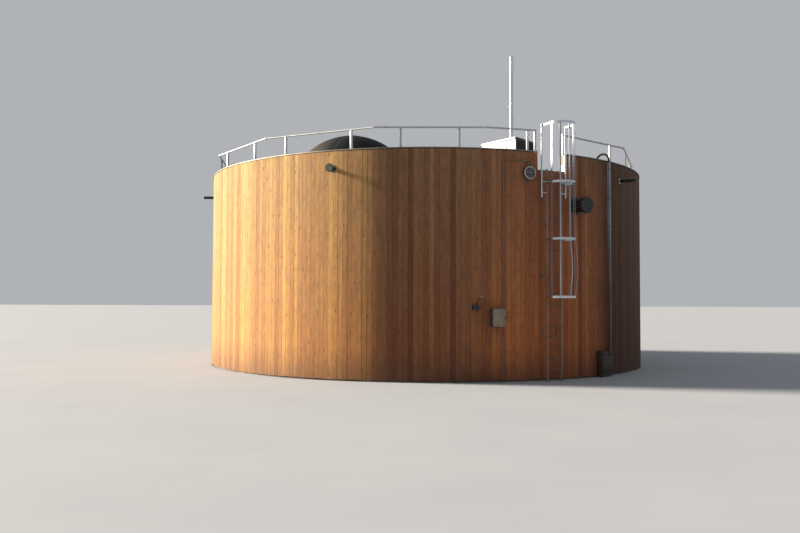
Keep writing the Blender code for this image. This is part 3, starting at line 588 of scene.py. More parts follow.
# ABS moulding, warm grey and sun-faded
GREY_ABS = worn("warm_grey_abs", "86796A", "6E6253", 140, 1.5, 0.06, (0.42, 0.55))
# The same plastic in dark brown grey, for the box under the lid
DARK_ABS = worn("dark_grey_abs", "45403A", "332F2B", 120, 1.5, 0.06, (0.45, 0.58))
# Cast aluminium, painted light grey, of the lamp's ring
PALE_CAST = worn("light_grey_cast_aluminium", "A9AAA6", "8C8D89", 60, 2, 0.1, (0.35, 0.5), 1, 0.3)
DARK_CAST = worn("dark_grey_cast_aluminium", "3B3D3F", "292B2D", 60, 2, 0.1, (0.4, 0.55), 1, 0.3)
# Planed larch of the parapet's cut end: golden, clean and fine in the grain
PLANED = worn("planed_larch", "7E5A22", "66461A", 90, 4, 0.1, (0.5, 0.65), 5)
# Lamp glass over a dark reflector: smooth, with a film of dust
GLASS = worn("dusty_lamp_glass", "2C2F31", "191B1D", 70, 8, 0.02, (0.06, 0.16), 1, 0.0, Coat_Weight=0.6)


# The tank

def board_spans(panel, first, last, foot):
    """The stretches of one board: whole, or cut out at the parapet's gap."""
    # The boards stop short of the coping, so a band of black felt shows there: painted shade for the coping's
    # shadow
    top = CLAD_TOP - 0.012
    if panel or last <= NOTCH[0] or first >= NOTCH[1]:
        return [(first, last, foot, top)]
    spans = [(first, last, foot, ROOF_TOP - 0.001)]
    for low, high in ((first, NOTCH[0]), (NOTCH[1], last)):
        if high - low > 0.1:
            spans.append((low, high, ROOF_TOP, top))
    return spans


def boards():
    """Upright boards in six panels, cut out at the ladder. Each has its own tone, lean and face."""
    step = PANEL_SPAN / BOARDS_A_PANEL
    for panel in range(CLAD_PANELS):
        start = FIRST_SEAM + panel * PANEL_SPAN
        planks, screws = meshes(2)
        tones, owns = [], []
        for index in range(BOARDS_A_PANEL):
            foot = random.uniform(0.035, 0.045)
            face = CLAD_RADIUS - 0.0004 - random.uniform(0.0, 0.003)
            lean = swing(random.uniform(-0.7, 0.7))
            tones.append(min(1, max(0, random.gauss(0.52, 0.25))))
            owns.append(random.uniform(0, 40))
            spans = board_spans(panel, start + index * step, start + (index + 1) * step, foot)
            for first, last, low, high in spans:
                width = radians(last - first) * CLAD_RADIUS - BOARD_GAP
                middle = (first + last) / 2
                spot = frame_at(middle, face - BOARD_THICKNESS / 2, (low + high) / 2) @ lean
                slab(planks, spot, (width, BOARD_THICKNESS, high - low), 0.0012)
                for z in [row for row in SCREW_ROWS if low < row < high]:
                    for side in (-0.38, 0.38):
                        spot = frame_at(middle, face - 0.001, z + random.uniform(-0.012, 0.012))
                        disc(screws, spot @ shift(side * width, 0, 0) @ OUTWARDS, 0.009, 0, 0.0016, 6)
        piece = finish("larch_boards_%d" % (panel + 1), [(planks, LARCH), (screws, SCREWS)],
                       ["timber_cladding_%d" % (panel + 1)])
        tone = piece.data.attributes.new("board_tone", "FLOAT", "POINT")
        own = piece.data.attributes.new("board_own", "FLOAT", "POINT")
        for vert in piece.data.vertices:
            turned_by = (degrees(atan2(vert.co.x, -vert.co.y)) - start) % 360
            index = min(BOARDS_A_PANEL - 1, int(turned_by / step))
            tone.data[vert.index].value = tones[index]
            own.data[vert.index].value = owns[index]


def coat_core():
    """The insulation behind the boards, in its felt, in six panels."""
    face = CLAD_RADIUS - BOARD_THICKNESS - 0.006
    inner = CONCRETE_RADIUS + TOUCH
    tall = rectangle(inner, face, 0.03, CLAD_TOP - 0.004)
    short = rectangle(inner, face, 0.03, ROOF_TOP - 0.001)
    for panel in range(CLAD_PANELS):
        start = FIRST_SEAM + panel * PANEL_SPAN
        low, high = start + 0.01, start + PANEL_SPAN - 0.01
        core = bmesh.new()
        if panel == 0:
            turned(core, tall, low, NOTCH[0], ARC_STEP)
            turned(core, short, NOTCH[0] + 0.001, NOTCH[1] - 0.001, ARC_STEP)
            low = NOTCH[1]
        turned(core, tall, low, high, ARC_STEP)
        finish("coat_core_%d" % (panel + 1), [(core, FELT)], ["timber_cladding_%d" % (panel + 1)])


def parapet_lining():
    """The screwed sheet inside the parapet, the roof skin's upstand on it, and the strip under the boards."""
    sheet, screws, foot, base = meshes(4)
    joints = 24
    span = RIM_SPAN / joints
    skin = CONCRETE_RADIUS - 0.0012
    inner = CONCRETE_RADIUS + TOUCH
    bottom, top = ROOF_TOP + 0.001, CLAD_TOP - 0.001
    lining = [(skin, bottom), (skin, top), (inner, top), (inner, bottom)]
    near, far, rest = skin - 0.004, skin - 0.0005, ROOF_TOP + 0.0005
    upstand = [(near, rest), (near, ROOF_TOP + 0.16), (far, ROOF_TOP + 0.165), (far, rest)]
    for index in range(joints):
        low = NOTCH[1] + index * span
        turned(sheet, lining, low + 0.01, low + span - 0.01, ARC_STEP)
        turned(foot, upstand, low + 0.005, low + span - 0.005, ARC_STEP)
        for z in (ROOF_TOP + 0.22, CLAD_TOP - 0.06):
            for side in (-0.8, 0, 0.8):
                spot = frame_at(low + span / 2 + side * span / 2, skin, z)
                bolt(screws, spot @ swing(180) @ OUTWARDS, 0.008)
    finish("parapet_lining", [(sheet, SHEET), (screws, BOLTS)], [])
    finish("roof_upstand", [(foot, MEMBRANE)], [])
    angle_strip = [(CLAD_RADIUS - inset, z) for inset, z in (
        (0.05, 0.0), (0.002, 0.0), (0.002, 0.002), (0.048, 0.002), (0.048, 0.05), (0.05, 0.05))]
    for start in range(0, 360, 30):
        turned(base, angle_strip, start + 0.02, start + 29.98, ARC_STEP)
    finish("base_profile", [(base, RIM_SHEET)], [])


def coping():
    """Folded sheet on the parapet, in lengths of about 3 m, with cover strips over their joints."""
    out, inn, low, top = CLAD_RADIUS + 0.0075, CONCRETE_RADIUS - 0.01, CLAD_TOP + TOUCH + 0.001, RIM_HEIGHT
    folded = [(out, low), (out, top - 0.005), (out - 0.005, top), (inn + 0.006, top - 0.007),
              (inn, top - 0.013), (inn, low), (inn + 0.002, low), (inn + 0.002, top - 0.014),
              (inn + 0.007, top - 0.009), (out - 0.006, top - 0.002), (out - 0.002, top - 0.006),
              (out - 0.002, low)]
    cover = [(r + (0.0012 if r > CLAD_RADIUS else -0.0012 if r < CONCRETE_RADIUS else 0), z - 0.0002)
             for r, z in folded]
    pieces, lengths = 4, 4
    span = RIM_SPAN / pieces
    half = degrees(0.045 / CLAD_RADIUS)
    for index in range(pieces):
        sheet, covers = meshes(2)
        start = NOTCH[1] + index * span
        for number in range(lengths):
            first = start + number * span / lengths
            last = first + span / lengths
            turned(sheet, folded, first + 0.03, last - 0.03, ARC_STEP)
            if number < lengths - 1:
                turned(covers, cover, last - half, last + half, ARC_STEP)
        if index < pieces - 1:
            turned(covers, cover, start + span - half, start + span - 0.001, ARC_STEP)
        if index:
            turned(covers, cover, start + 0.001, start + half, ARC_STEP)
        finish("parapet_coping_sheet_%d" % (index + 1), [(sheet, RIM_SHEET), (covers, RIM_SHEET)],
               ["parapet_coping_%d" % (index + 1)], 25)


def notch_lining():
    """White folded sheet round the parapet's gap, with its screws and a planed board on either cheek."""
    sheet, sill, screws, panel = meshes(4)
    inner, low = CONCRETE_RADIUS + TOUCH, ROOF_FACE
    gap, thick = degrees(TOUCH / CLAD_RADIUS), degrees(0.02 / CLAD_RADIUS)
    cheek = rectangle(inner, CLAD_RADIUS, low, CLAD_TOP)
    turned(sheet, cheek, NOTCH[0] + gap, NOTCH[0] + thick, 0.1)
    turned(sheet, cheek, NOTCH[1] - thick, NOTCH[1] - gap, 0.1)
    tread = rectangle(inner, CLAD_RADIUS + 0.004, low, ROOF_TOP + 0.02)
    turned(sill, tread, NOTCH[0] + thick + 0.002, NOTCH[1] - thick - 0.002, 1.0)
    for angle, side in ((NOTCH[0] + thick, 1), (NOTCH[1] - thick, -1)):
        slab(panel, frame_at(angle, 6.907, 5.85) @ shift(side * 0.003, 0, 0), (0.006, 0.11, 0.27), 0.001)
        for radius in (6.825, 7.005):
            for z in (5.60, 5.76, 5.92):
                bolt(screws, frame_at(angle, radius, z) @ swing(90 * side, "Y"), 0.008)
    finish("notch_sheet", [(sheet, WHITE), (sill, BRIGHT), (screws, BOLTS), (panel, PLANED)],
           ["notch_lining"])


# Access

def ladder_frame(side, out, z):
    """A frame at the ladder: some way along its rungs, and some way out from the boards."""
    return frame_at(LADDER_ANGLE, CLAD_RADIUS, z) @ shift(side, out, 0)


def ladder_spot(side, out, z):
    return ladder_frame(side, out, z).to_translation()


def ladder():
    """Stiles on foot plates, rungs through them in welded collars, and arms to plates on the boards."""
    half = LADDER_SPACING / 2
    steel, rungs, fixings = meshes(3)
    for sign in (-1, 1):
        side = sign * half
        stile = ladder_frame(side, STANDOFF, ROOF_TOP / 2 + 0.004)
        slab(steel, stile, (0.020, 0.060, ROOF_TOP - 0.008), 0.003, 2)
        slab(steel, ladder_frame(side, STANDOFF, 0.004), (0.09, 0.12, 0.008), 0.002)
        for out in (-0.045, 0.045):
            bolt(fixings, ladder_frame(side + sign * 0.028, STANDOFF + out, 0.008), 0.012)
    collars = ((-0.011, -0.016, (0.036, 16, 0.003)), (0.0095, 0.012, (0.026, 12, 0.001)))
    for index in range(RUNGS):
        level = ladder_frame(0, STANDOFF, FIRST_RUNG + index * RUNG_PITCH)
        rod(rungs, level, (-half + 0.009, 0, 0), (half - 0.009, 0, 0), 0.028, 16)
        for sign in (-1, 1):
            for near, far, shape in collars:
                rod(steel, level, (sign * (half + near), 0, 0), (sign * (half + far), 0, 0), *shape)
    curve = CLAD_RADIUS - sqrt(CLAD_RADIUS ** 2 - half ** 2)
    for z in LADDER_ARMS:
        for sign in (-1, 1):
            side = sign * (half + 0.014)
            arm = ladder_frame(side, (STANDOFF - curve) / 2, z)
            slab(steel, arm, (0.008, STANDOFF + curve, 0.034), 0.0015)
            plate = frame_at(LADDER_ANGLE + degrees(atan2(side, CLAD_RADIUS)), CLAD_RADIUS + 0.0045, z)
            slab(rungs, plate, (0.060, 0.008, 0.11), 0.0015)
            for rise in (-0.038, 0.038):
                bolt(rungs, plate @ shift(0, 0.004, rise) @ OUTWARDS, 0.012)
            for out in (-0.014, 0.014):
                spot = ladder_frame(side + sign * 0.004, STANDOFF + out, z)
                bolt(fixings, spot @ swing(90 * sign, "Y"), 0.010)
    finish("ladder_steel", [(steel, DUSTY_STEEL), (rungs, RUNG_STEEL), (fixings, BOLTS)], ["ladder"])


def hoop_line(half):
    """Plan points of a hoop from one stile to the other: arms that open out, then a half circle."""
    turns = [radians(-90 + 4 * index) for index in range(46)]
    arc = [cage_spot(HOOP_WIDTH / 2, turn) for turn in turns]
    return [(-half, STANDOFF)] + arc + [(half, STANDOFF)]


def cage_spot(reach, turn):
    """A place in plan round the cage's middle, as a step sideways from the ladder and one outwards."""
    return reach * sin(turn), STANDOFF + HOOP_REACH + reach * cos(turn)


def cage():
    """Hoops of flat bar bolted to the stiles, and upright strips inside them that bow in the lowest bay."""
    thick, tall = HOOP_BAR
    low_seat = LADDER_SPACING / 2 + 0.010 + thick / 2 + TOUCH
    top_seat = EXIT_SPACING / 2 - 0.021 - thick / 2 - TOUCH
    for number, z in enumerate(HOOP_HEIGHTS, 1):
        seat, way = (top_seat, -1) if z == HOOP_HEIGHTS[-1] else (low_seat, 1)
        ring, fixings = meshes(2)
        middle = z + tall / 2
        sweep(ring, oblong(thick, tall), path([ladder_spot(*point, middle) for point in hoop_line(seat)]))
        for turn in STRIP_TURNS:
            spot = ladder_frame(*cage_spot(HOOP_WIDTH / 2 + thick / 2, radians(turn)), middle)
            bolt(fixings, spot @ swing(-turn) @ OUTWARDS, 0.010)
        for sign in (-1, 1):
            facing = sign * way
            spot = ladder_frame(sign * seat + facing * thick / 2, STANDOFF + 0.012, middle)
            bolt(fixings, spot @ swing(90 * facing, "Y"), 0.010)
        finish("cage_hoop_bar_%d" % number, [(ring, BRIGHT), (fixings, BOLTS)],
               ["cage_hoop_%d" % number], 30)
    strip_thick, strip_wide = STRIP_BAR
    inside = HOOP_WIDTH / 2 - thick / 2 - strip_thick / 2 - TOUCH
    low, bow_top, top = HOOP_HEIGHTS[0], HOOP_HEIGHTS[1], HOOP_HEIGHTS[-1] + tall
    bow_low = low + tall
    for number, degree in enumerate(STRIP_TURNS, 1):
        strip = bmesh.new()
        turn = radians(degree)
        levels = [(low, 0.0), (bow_low, 0.0)]
        for share in [part / 16 for part in range(1, 16)]:
            push = STRIP_BOW * cos(turn) * sin(pi * share) ** 1.15
            levels.append((bow_low + (bow_top - bow_low) * share, push))
        levels += [(bow_top, 0.0), (top, 0.0)]
        points = [ladder_spot(*cage_spot(inside + push, turn), z) for z, push in levels]
        outwards = ladder_frame(0, 0, 0).to_3x3() @ Vector((sin(turn), cos(turn), 0))
        sweep(strip, oblong(strip_wide, strip_thick), path(points, outwards))
        ease(strip, line_edges(strip.verts, UP, False), 0.0015)
        finish("cage_strip_bar_%d" % number, [(strip, SATIN_STRIP)], ["cage_strip_%d" % number],
               30)


def exit_rails():
    """Tubes beside the ladder's head, with eased caps, on arms that are bolted to its stiles."""
    for sign, name in ((-1, "left"), (1, "right")):
        across = sign * EXIT_SPACING / 2
        seat = sign * (LADDER_SPACING / 2 + 0.010 + TOUCH)
        steel, fixings = meshes(2)
        bar(steel, ladder_spot(across, STANDOFF, EXIT_FOOT),
            ladder_spot(across, STANDOFF, HOOP_HEIGHTS[-1] + 0.06), 0.042, 24, 0.004)
        for z in EXIT_BRACKETS:
            bar(steel, ladder_spot(seat, STANDOFF, z), ladder_spot(across, STANDOFF, z), 0.029, 16)
            slab(steel, ladder_frame(seat + sign * 0.003, STANDOFF, z), (0.006, 0.058, 0.034), 0.0015)
            for out in (-0.021, 0.021):
                spot = ladder_frame(seat + sign * 0.006, STANDOFF + out, z)
                bolt(fixings, spot @ swing(90 * sign, "Y"), 0.007)
        finish("exit_rail_tube_" + name, [(steel, BRIGHT), (fixings, BOLTS)], ["exit_grab_rail_" + name],
               40)


def rail_bends():
    """The angles of the rail's ends and bends, clockwise from the ladder."""
    step = (LAST_BEND - FRONT_BENDS[-1]) / BACK_PANELS
    back = [FRONT_BENDS[-1] + step * (index + 1) for index in range(BACK_PANELS)]
    return [RAIL_ENDS[0], *FRONT_BENDS, *back, RAIL_ENDS[1]]


def rail_spot(angle, z):
    """A bend of the rail, or one of its two ends."""
    ends = dict(zip(RAIL_ENDS, RAIL_END_RADII))
    return place(angle, ends.get(angle, RAIL_RADIUS), z)


def rail_feet(angles):
    """The frame at the foot of each post of a run, two to a panel."""
    for start, end in zip(angles, angles[1:]):
        first, last = rail_spot(start, RIM_HEIGHT + TOUCH), rail_spot(end, RIM_HEIGHT + TOUCH)
        along = (first - last).normalized()
        turn = axes(along, along.cross(UP), UP)
        if start == RAIL_ENDS[0]:
            stops = [start - inset for inset in END_INSETS]
        else:
            stops = [start - POST_INSET, end + (END_INSETS[0] if end in RAIL_ENDS else POST_INSET)]
        for angle in stops:
            side = frame_at(angle, 0, 0).to_3x3() @ Vector((1, 0, 0))
            share = first.dot(side) / (first - last).dot(side)
            yield Matrix.Translation(first.lerp(last, share)) @ turn


def guard_rail():
    """Top tube in straight panels on square posts, whose feet are bolted to the rim."""
    bends = rail_bends()
    middle = RAIL_TOP - RAIL_DIAMETER / 2
    tall = middle - RIM_HEIGHT - 0.015
    foot_side, foot_height = POST_FOOT
    first = 0
    for number, panels in enumerate(RAIL_RUN_PANELS, 1):
        angles = bends[first:first + panels + 1]
        steel, fixings = meshes(2)
        frames = path([rail_spot(angle, middle) for angle in angles])
        if number > 1:
            frames[0] = mitre_frame(angles[0], middle)
        if number < len(RAIL_RUN_PANELS):
            frames[-1] = mitre_frame(angles[-1], middle)
        sweep(steel, ring_points(RAIL_DIAMETER, 20), frames)
        for foot in rail_feet(angles):
            slab(steel, foot @ shift(0, 0, tall / 2), (POST_SIDE, POST_SIDE, tall), 0.004, 2)
            slab(steel, foot @ shift(0, 0, foot_height / 2), (foot_side, foot_side, foot_height), 0.002)
            for x, y in oblong(0.068, 0.068):
                disc(fixings, foot @ shift(x, y, foot_height), 0.009, 0, 0.004, 8, 0.001)
        for angle in angles[1:-1]:
            ends = [place(angle + side, RAIL_RADIUS - 0.001, middle) for side in (0.35, -0.35)]
            bar(steel, *ends, RAIL_DIAMETER + 0.004, 20, 0.002)
        finish("guard_rail_steel_%d" % number, [(steel, ZINC), (fixings, BOLTS)],
               ["guard_rail_%d" % number], 40)
        first += panels


def mitre_frame(angle, z):
    """The section's frame in the upright plane through the tank's axis, running clockwise."""
    out = place(angle, 1, 0)
    along = Vector((out.y, -out.x, 0))
    side = UP.cross(along).normalized()
    return Matrix.Translation(place(angle, RAIL_RADIUS, z)) @ axes(side, UP, along)


# On the roof

def gas_dome():
    """The membrane in welded gores that belly out between their seams, clamped down by a steel ring."""
    centre = Vector((*DOME_CENTRE, DOME_TOP - DOME_CURVE))
    low = ROOF_FACE
    skin, seams, patch, steel, fixings = meshes(5)
    bmesh.ops.create_uvsphere(skin, u_segments=DOME_GORES * 8, v_segments=72, radius=DOME_CURVE,
                              matrix=Matrix.Translation(centre))
    cut = bmesh.ops.bisect_plane(skin, geom=skin.verts[:] + skin.edges[:] + skin.faces[:],
                                 plane_co=(0, 0, low), plane_no=(0, 0, 1), clear_inner=True)
    rim = [part for part in cut["geom_cut"] if isinstance(part, bmesh.types.BMEdge)]
    for vert in skin.verts:
        way = vert.co - centre
        valley = 1 - abs(sin(atan2(way.x, way.y) * DOME_GORES / 2))
        calm = min(1, hypot(way.x, way.y) / 0.9) * min(1, (vert.co.z - low) / 0.15)
        vert.co -= way.normalized() * 0.014 * valley ** 3 * calm
    bmesh.ops.extrude_edge_only(skin, edges=rim)
    reach = DOME_CURVE - 0.0125
    rises = [radians(3 + 81 * part / 24) for part in range(25)]
    rises = [rise for rise in rises if centre.z + reach * sin(rise) > low + 0.08]
    for index in range(DOME_GORES):
        turn = 2 * pi * index / DOME_GORES
        out = Vector((sin(turn), cos(turn), 0))
        points = [centre + out * reach * cos(rise) + UP * reach * sin(rise) for rise in rises]
        sweep(seams, oblong(0.045, 0.004), path(points, out))
    top = Matrix.Translation((centre.x, centre.y, DOME_TOP))
    disc(patch, top, 0.62, -0.022, -0.010, 48, 0.006)
    disc(patch, top, 0.30, -0.010, 0.0, 36, 0.004)
    finish("gas_membrane", [(skin, MEMBRANE), (seams, MEMBRANE), (patch, MEMBRANE)], ["gas_dome"],
           50)
    foot = sqrt(DOME_CURVE ** 2 - (low - centre.z) ** 2) + 0.001
    profile = [(foot, low), (foot + 0.108, low), (foot + 0.108, low + 0.012), (foot + 0.012, low + 0.012),
               (foot + 0.012, low + 0.080), (foot, low + 0.080)]
    band = [(foot + 0.026 + x, low + 0.055 + y) for x, y in ring_points(0.026, 10)]
    for section in (profile, band):
        turned(steel, section, 0, 360, 2.5, DOME_CENTRE)
    for index in range(44):
        spot = Vector((*DOME_CENTRE, 0)) + place(index * 360 / 44, foot + 0.066, low + 0.012)
        bolt(fixings, Matrix.Translation(spot), 0.016)
    finish("dome_clamp_steel", [(steel, ZINC), (fixings, BOLTS)], ["dome_clamping_ring"])


def housing():
    """Sheet-steel machine housing: a door on its left face, an intake of black blades on its right."""
    left, right = HOUSING_SIDES
    inset = 0.03
    corner = Matrix.Translation((*HOUSING_CORNER, 0)) @ swing(45)
    low = ROOF_FACE
    body_low, body_top = low + 0.08 + TOUCH, HOUSING_TOP - 0.06 - TOUCH
    tall = body_top - body_low
    centre = body_low + tall / 2
    plan = (right - 2 * inset, left - 2 * inset)

    def box(bm, x, y, z, size, edge=0.0, segments=1, twist=0):
        """A box at a place in the housing's own frame."""
        slab(bm, corner @ shift(x, y, z) @ swing(twist, "X"), size, edge, segments)

    def sloped(bm, both):
        """Tilts the top with the roof's fall, or top and bottom both."""
        for vert in bm.verts:
            local = corner.inverted() @ vert.co
            if both or local.z > body_top - 0.2:
                vert.co.z -= HOUSING_FALL * (local.x + local.y)

    plinth, shell, blades, trims, fixings, dark, lid, fascia = meshes(8)
    box(plinth, right / 2, left / 2, low + 0.04, (*plan, 0.08), 0.008, 2)
    finish("housing_curb", [(plinth, CONCRETE)], ["housing_plinth"])

    box(shell, right / 2, left / 2, centre, (*plan, tall), 0.006, 2)
    sloped(shell, False)
    # The intake fills the right face: local x along it, local -y outwards
    width = right - 2 * inset - 0.07
    sill = body_low + 0.06
    high = body_top - sill - 0.004
    proud = inset - 0.012
    box(dark, right / 2, inset - 0.001, sill + high / 2, (width, 0.012, high))
    for index in range(19):
        z = sill + 0.05 + index * (high - 0.16) / 18
        box(blades, right / 2, proud, z, (width - 0.04, 0.045, 0.003), twist=38)
    box(blades, right / 2, proud, sill - 0.012, (width + 0.02, 0.026, 0.03), 0.003)
    box(dark, right / 2, proud, sill + high - 0.018, (width, 0.026, 0.036), 0.003)
    for side in (-1, 1):
        box(dark, (right + side * width) / 2, proud, sill + high / 2, (0.024, 0.026, high), 0.003)
    for x in (inset + 0.015, right - inset - 0.015):
        box(trims, x, inset - 0.008, centre - 0.005, (0.028, 0.016, tall - 0.02), 0.003)
    sloped(dark, False)
    # The door in the left face: local y along it, local -x outwards
    door_wide, door_tall, door_middle = 0.78, 1.02, left / 2 + 0.08
    hinge_side, lock_side = door_middle + door_wide / 2, door_middle - door_wide / 2 + 0.07
    door_centre = body_low + 0.06 + door_tall / 2
    box(shell, inset - 0.009, door_middle, door_centre, (0.018, door_wide, door_tall), 0.004, 2)
    for y in (0.09, left - 0.09):
        box(trims, inset - 0.004, y, centre - 0.03, (0.008, 0.05, tall - 0.12), 0.002)
    for z in (body_low + 0.2, body_low + 0.86):
        x = inset - 0.022
        rod(fixings, corner, (x, hinge_side, z), (x, hinge_side, z + 0.09), 0.018, 12, 0.002)
    box(fixings, inset - 0.022, lock_side, body_low + 0.60, (0.012, 0.03, 0.11), 0.003)
    grip = (inset - 0.045, lock_side, body_low + 0.57)
    rod(fixings, corner, grip, (grip[0], grip[1] + 0.10, grip[2]), 0.014, 12, 0.003)
    # Stiffening folds on the two far faces
    for share in (0.25, 0.5, 0.75):
        box(trims, right - inset + 0.004, left * share, centre - 0.05, (0.008, 0.04, tall - 0.14), 0.003)
    for share in (0.33, 0.67):
        box(trims, right * share, left - inset + 0.004, centre - 0.05, (0.04, 0.008, tall - 0.16), 0.003)
    finish("housing_cabinet", [(shell, WHITE), (dark, BLACK_COAT), (blades, BLACK_COAT), (trims, WHITE),
                               (fixings, BOLTS)], ["housing_body"])

    box(lid, right / 2, left / 2 + 0.002, HOUSING_TOP - 0.034, (right, left - 0.004, 0.052), 0.005, 2)
    box(fascia, right / 2 + 0.014, 0.003, HOUSING_TOP - 0.034, (right - 0.032, 0.006, 0.050), 0.001)
    for y in (0.32, 0.65, 0.98):
        box(lid, right / 2, y, HOUSING_TOP - 0.0035, (right - 0.03, 0.012, 0.008), 0.002)
    for bm in (lid, fascia):
        sloped(bm, True)
    finish("housing_roof_sheet", [(lid, WHITE), (fascia, BLACK_COAT)], ["housing_lid"])


def vent_stack():
    """Thin-walled stainless pipe in lengths, with clamp bands, an open sleeve on top and a gusseted foot."""
    steel, fixings = meshes(2)
    low = ROOF_FACE
    foot = Matrix.Translation((*STACK_PLACE, low))
    outer, inner, joint = 0.060, 0.057, 9.42
    pipe = [(outer, low + 0.012), (outer, joint), (inner, joint), (inner, low + 0.012)]
    sleeve = [(0.0605, 9.36), (0.066, 9.375), (0.066, STACK_TOP - 0.004), (0.064, STACK_TOP),
              (outer, STACK_TOP), (outer, 9.36)]
    bands = (6.35, 7.85, 9.34)
    clamps = [[(0.0602, z - 0.03), (0.064, z - 0.026), (0.064, z + 0.026), (0.0602, z + 0.03)] for z in bands]
    for profile in (pipe, sleeve, *clamps):
        turned(steel, profile, 0, 360, ROUND_STEP, STACK_PLACE)
    for z in bands:
        lug = Matrix.Translation((*STACK_PLACE, z)) @ frame_at(70, 0.075, 0)
        slab(steel, lug, (0.012, 0.026, 0.030), 0.002)
        bolt(fixings, lug @ shift(0.006, 0, 0) @ swing(90, "Y"), 0.010)
    disc(steel, foot, 0.30, 0, 0.015, 48, 0.002)
    for angle in (0, 90, 180, 270):
        spot = foot @ frame_at(angle + 45, 0, 0)
        corners = [steel.verts.new(spot @ Vector((x, y, z))) for x in (-0.003, 0.003)
                   for y, z in ((0.058, 0.014), (0.125, 0.014), (0.125, 0.03), (0.058, 0.13))]
        bmesh.ops.convex_hull(steel, input=corners)
        bolt(fixings, foot @ frame_at(angle, 0.118, 0.015), 0.014)
    finish("vent_pipe_steel", [(steel, SATIN_PIPE), (fixings, BOLTS)], ["vent_stack"], 40)


def roof_outlets():
    """Slatted leaf guards over the roof's four outlets, each on a flat collar."""
    guards = bmesh.new()
    for angle in SPOUT_ANGLES:
        spot = frame_at(angle, 6.52, ROOF_FACE)
        disc(guards, spot, 0.26, 0, 0.012, 32, 0.004)
        disc(guards, spot, 0.17, 0.085, 0.100, 32, 0.005)
        for index in range(16):
            slab(guards, spot @ swing(22.5 * index) @ shift(0, 0.078, 0.049), (0.006, 0.012, 0.076))
    finish("roof_outlet_guards", [(guards, BLACK_PE)], [])


# On the wall

def switch_box():
    """A moulded case with cable glands, and its paler lid with corner screws, two hinges and a lock."""
    width, depth, height = BOX_SIZE
    lid_deep = 0.035
    front = WALL_FACE + depth
    z = BOX_BOTTOM + height / 2
    body, glands, lid, screws = meshes(4)
    deep = depth - lid_deep
    slab(body, frame_at(BOX_ANGLE, WALL_FACE + deep / 2, z), (width, deep, height), 0.012, 3)
    below = frame_at(BOX_ANGLE, WALL_FACE + 0.09, BOX_BOTTOM)
    for x in (-0.08, 0.02):
        rod(glands, below, (x, 0, 0.002), (x, 0, -0.030), 0.030, 6, 0.002)
    side = frame_at(BOX_ANGLE, WALL_FACE + 0.0128, z + 0.03)
    rod(glands, side, (width / 2 - 0.002, 0, 0), (width / 2 + 0.012, 0, 0), 0.025, 6, 0.002)
    finish("switch_box_case", [(body, DARK_ABS), (glands, RUBBER)], ["junction_box_body"])
    slab(lid, frame_at(BOX_ANGLE, front - lid_deep / 2, z), (width, lid_deep, height), 0.010, 3)
    slab(lid, frame_at(BOX_ANGLE, front + 0.001, z), (width - 0.07, 0.006, height - 0.07), 0.003, 2)
    for x, y in oblong(width - 0.044, height - 0.044):
        spot = frame_at(BOX_ANGLE, front - 0.001, z) @ shift(x, 0, y)
        disc(screws, spot @ OUTWARDS, 0.016, 0, 0.004, 16, 0.001)
    hinges, x = frame_at(BOX_ANGLE, front - 0.018, z), -width / 2 - 0.004
    for y in (-0.12, 0.12):
        rod(lid, hinges, (x, 0, y - 0.03), (x, 0, y + 0.03), 0.014, 12, 0.002)
    lock = frame_at(BOX_ANGLE, front + 0.003, z) @ shift(width / 2 - 0.022, 0, 0)
    slab(screws, lock, (0.016, 0.012, 0.05), 0.003)
    finish("switch_box_lid", [(lid, GREY_ABS), (screws, RUBBER)], ["junction_box_lid"])


def saddle(clips, spot):
    """A bent strap over a conduit that runs along a frame's Z, with a screw at either end."""
    arch = [(0.0165 * cos(pi * i / 8), 0.0125 + 0.0165 * sin(pi * i / 8)) for i in range(9)]
    line = [(0.038, 0.001), (0.0165, 0.001), *arch, (-0.0165, 0.001), (-0.038, 0.001)]
    points = [spot @ Vector((x, y, 0)) for x, y in line]
    sweep(clips, oblong(0.002, 0.018), path(points, spot.to_3x3() @ UP))
    for x in (-0.029, 0.029):
        disc(clips, spot @ shift(x, 0.002, 0) @ OUTWARDS, 0.008, 0, 0.003, 8)


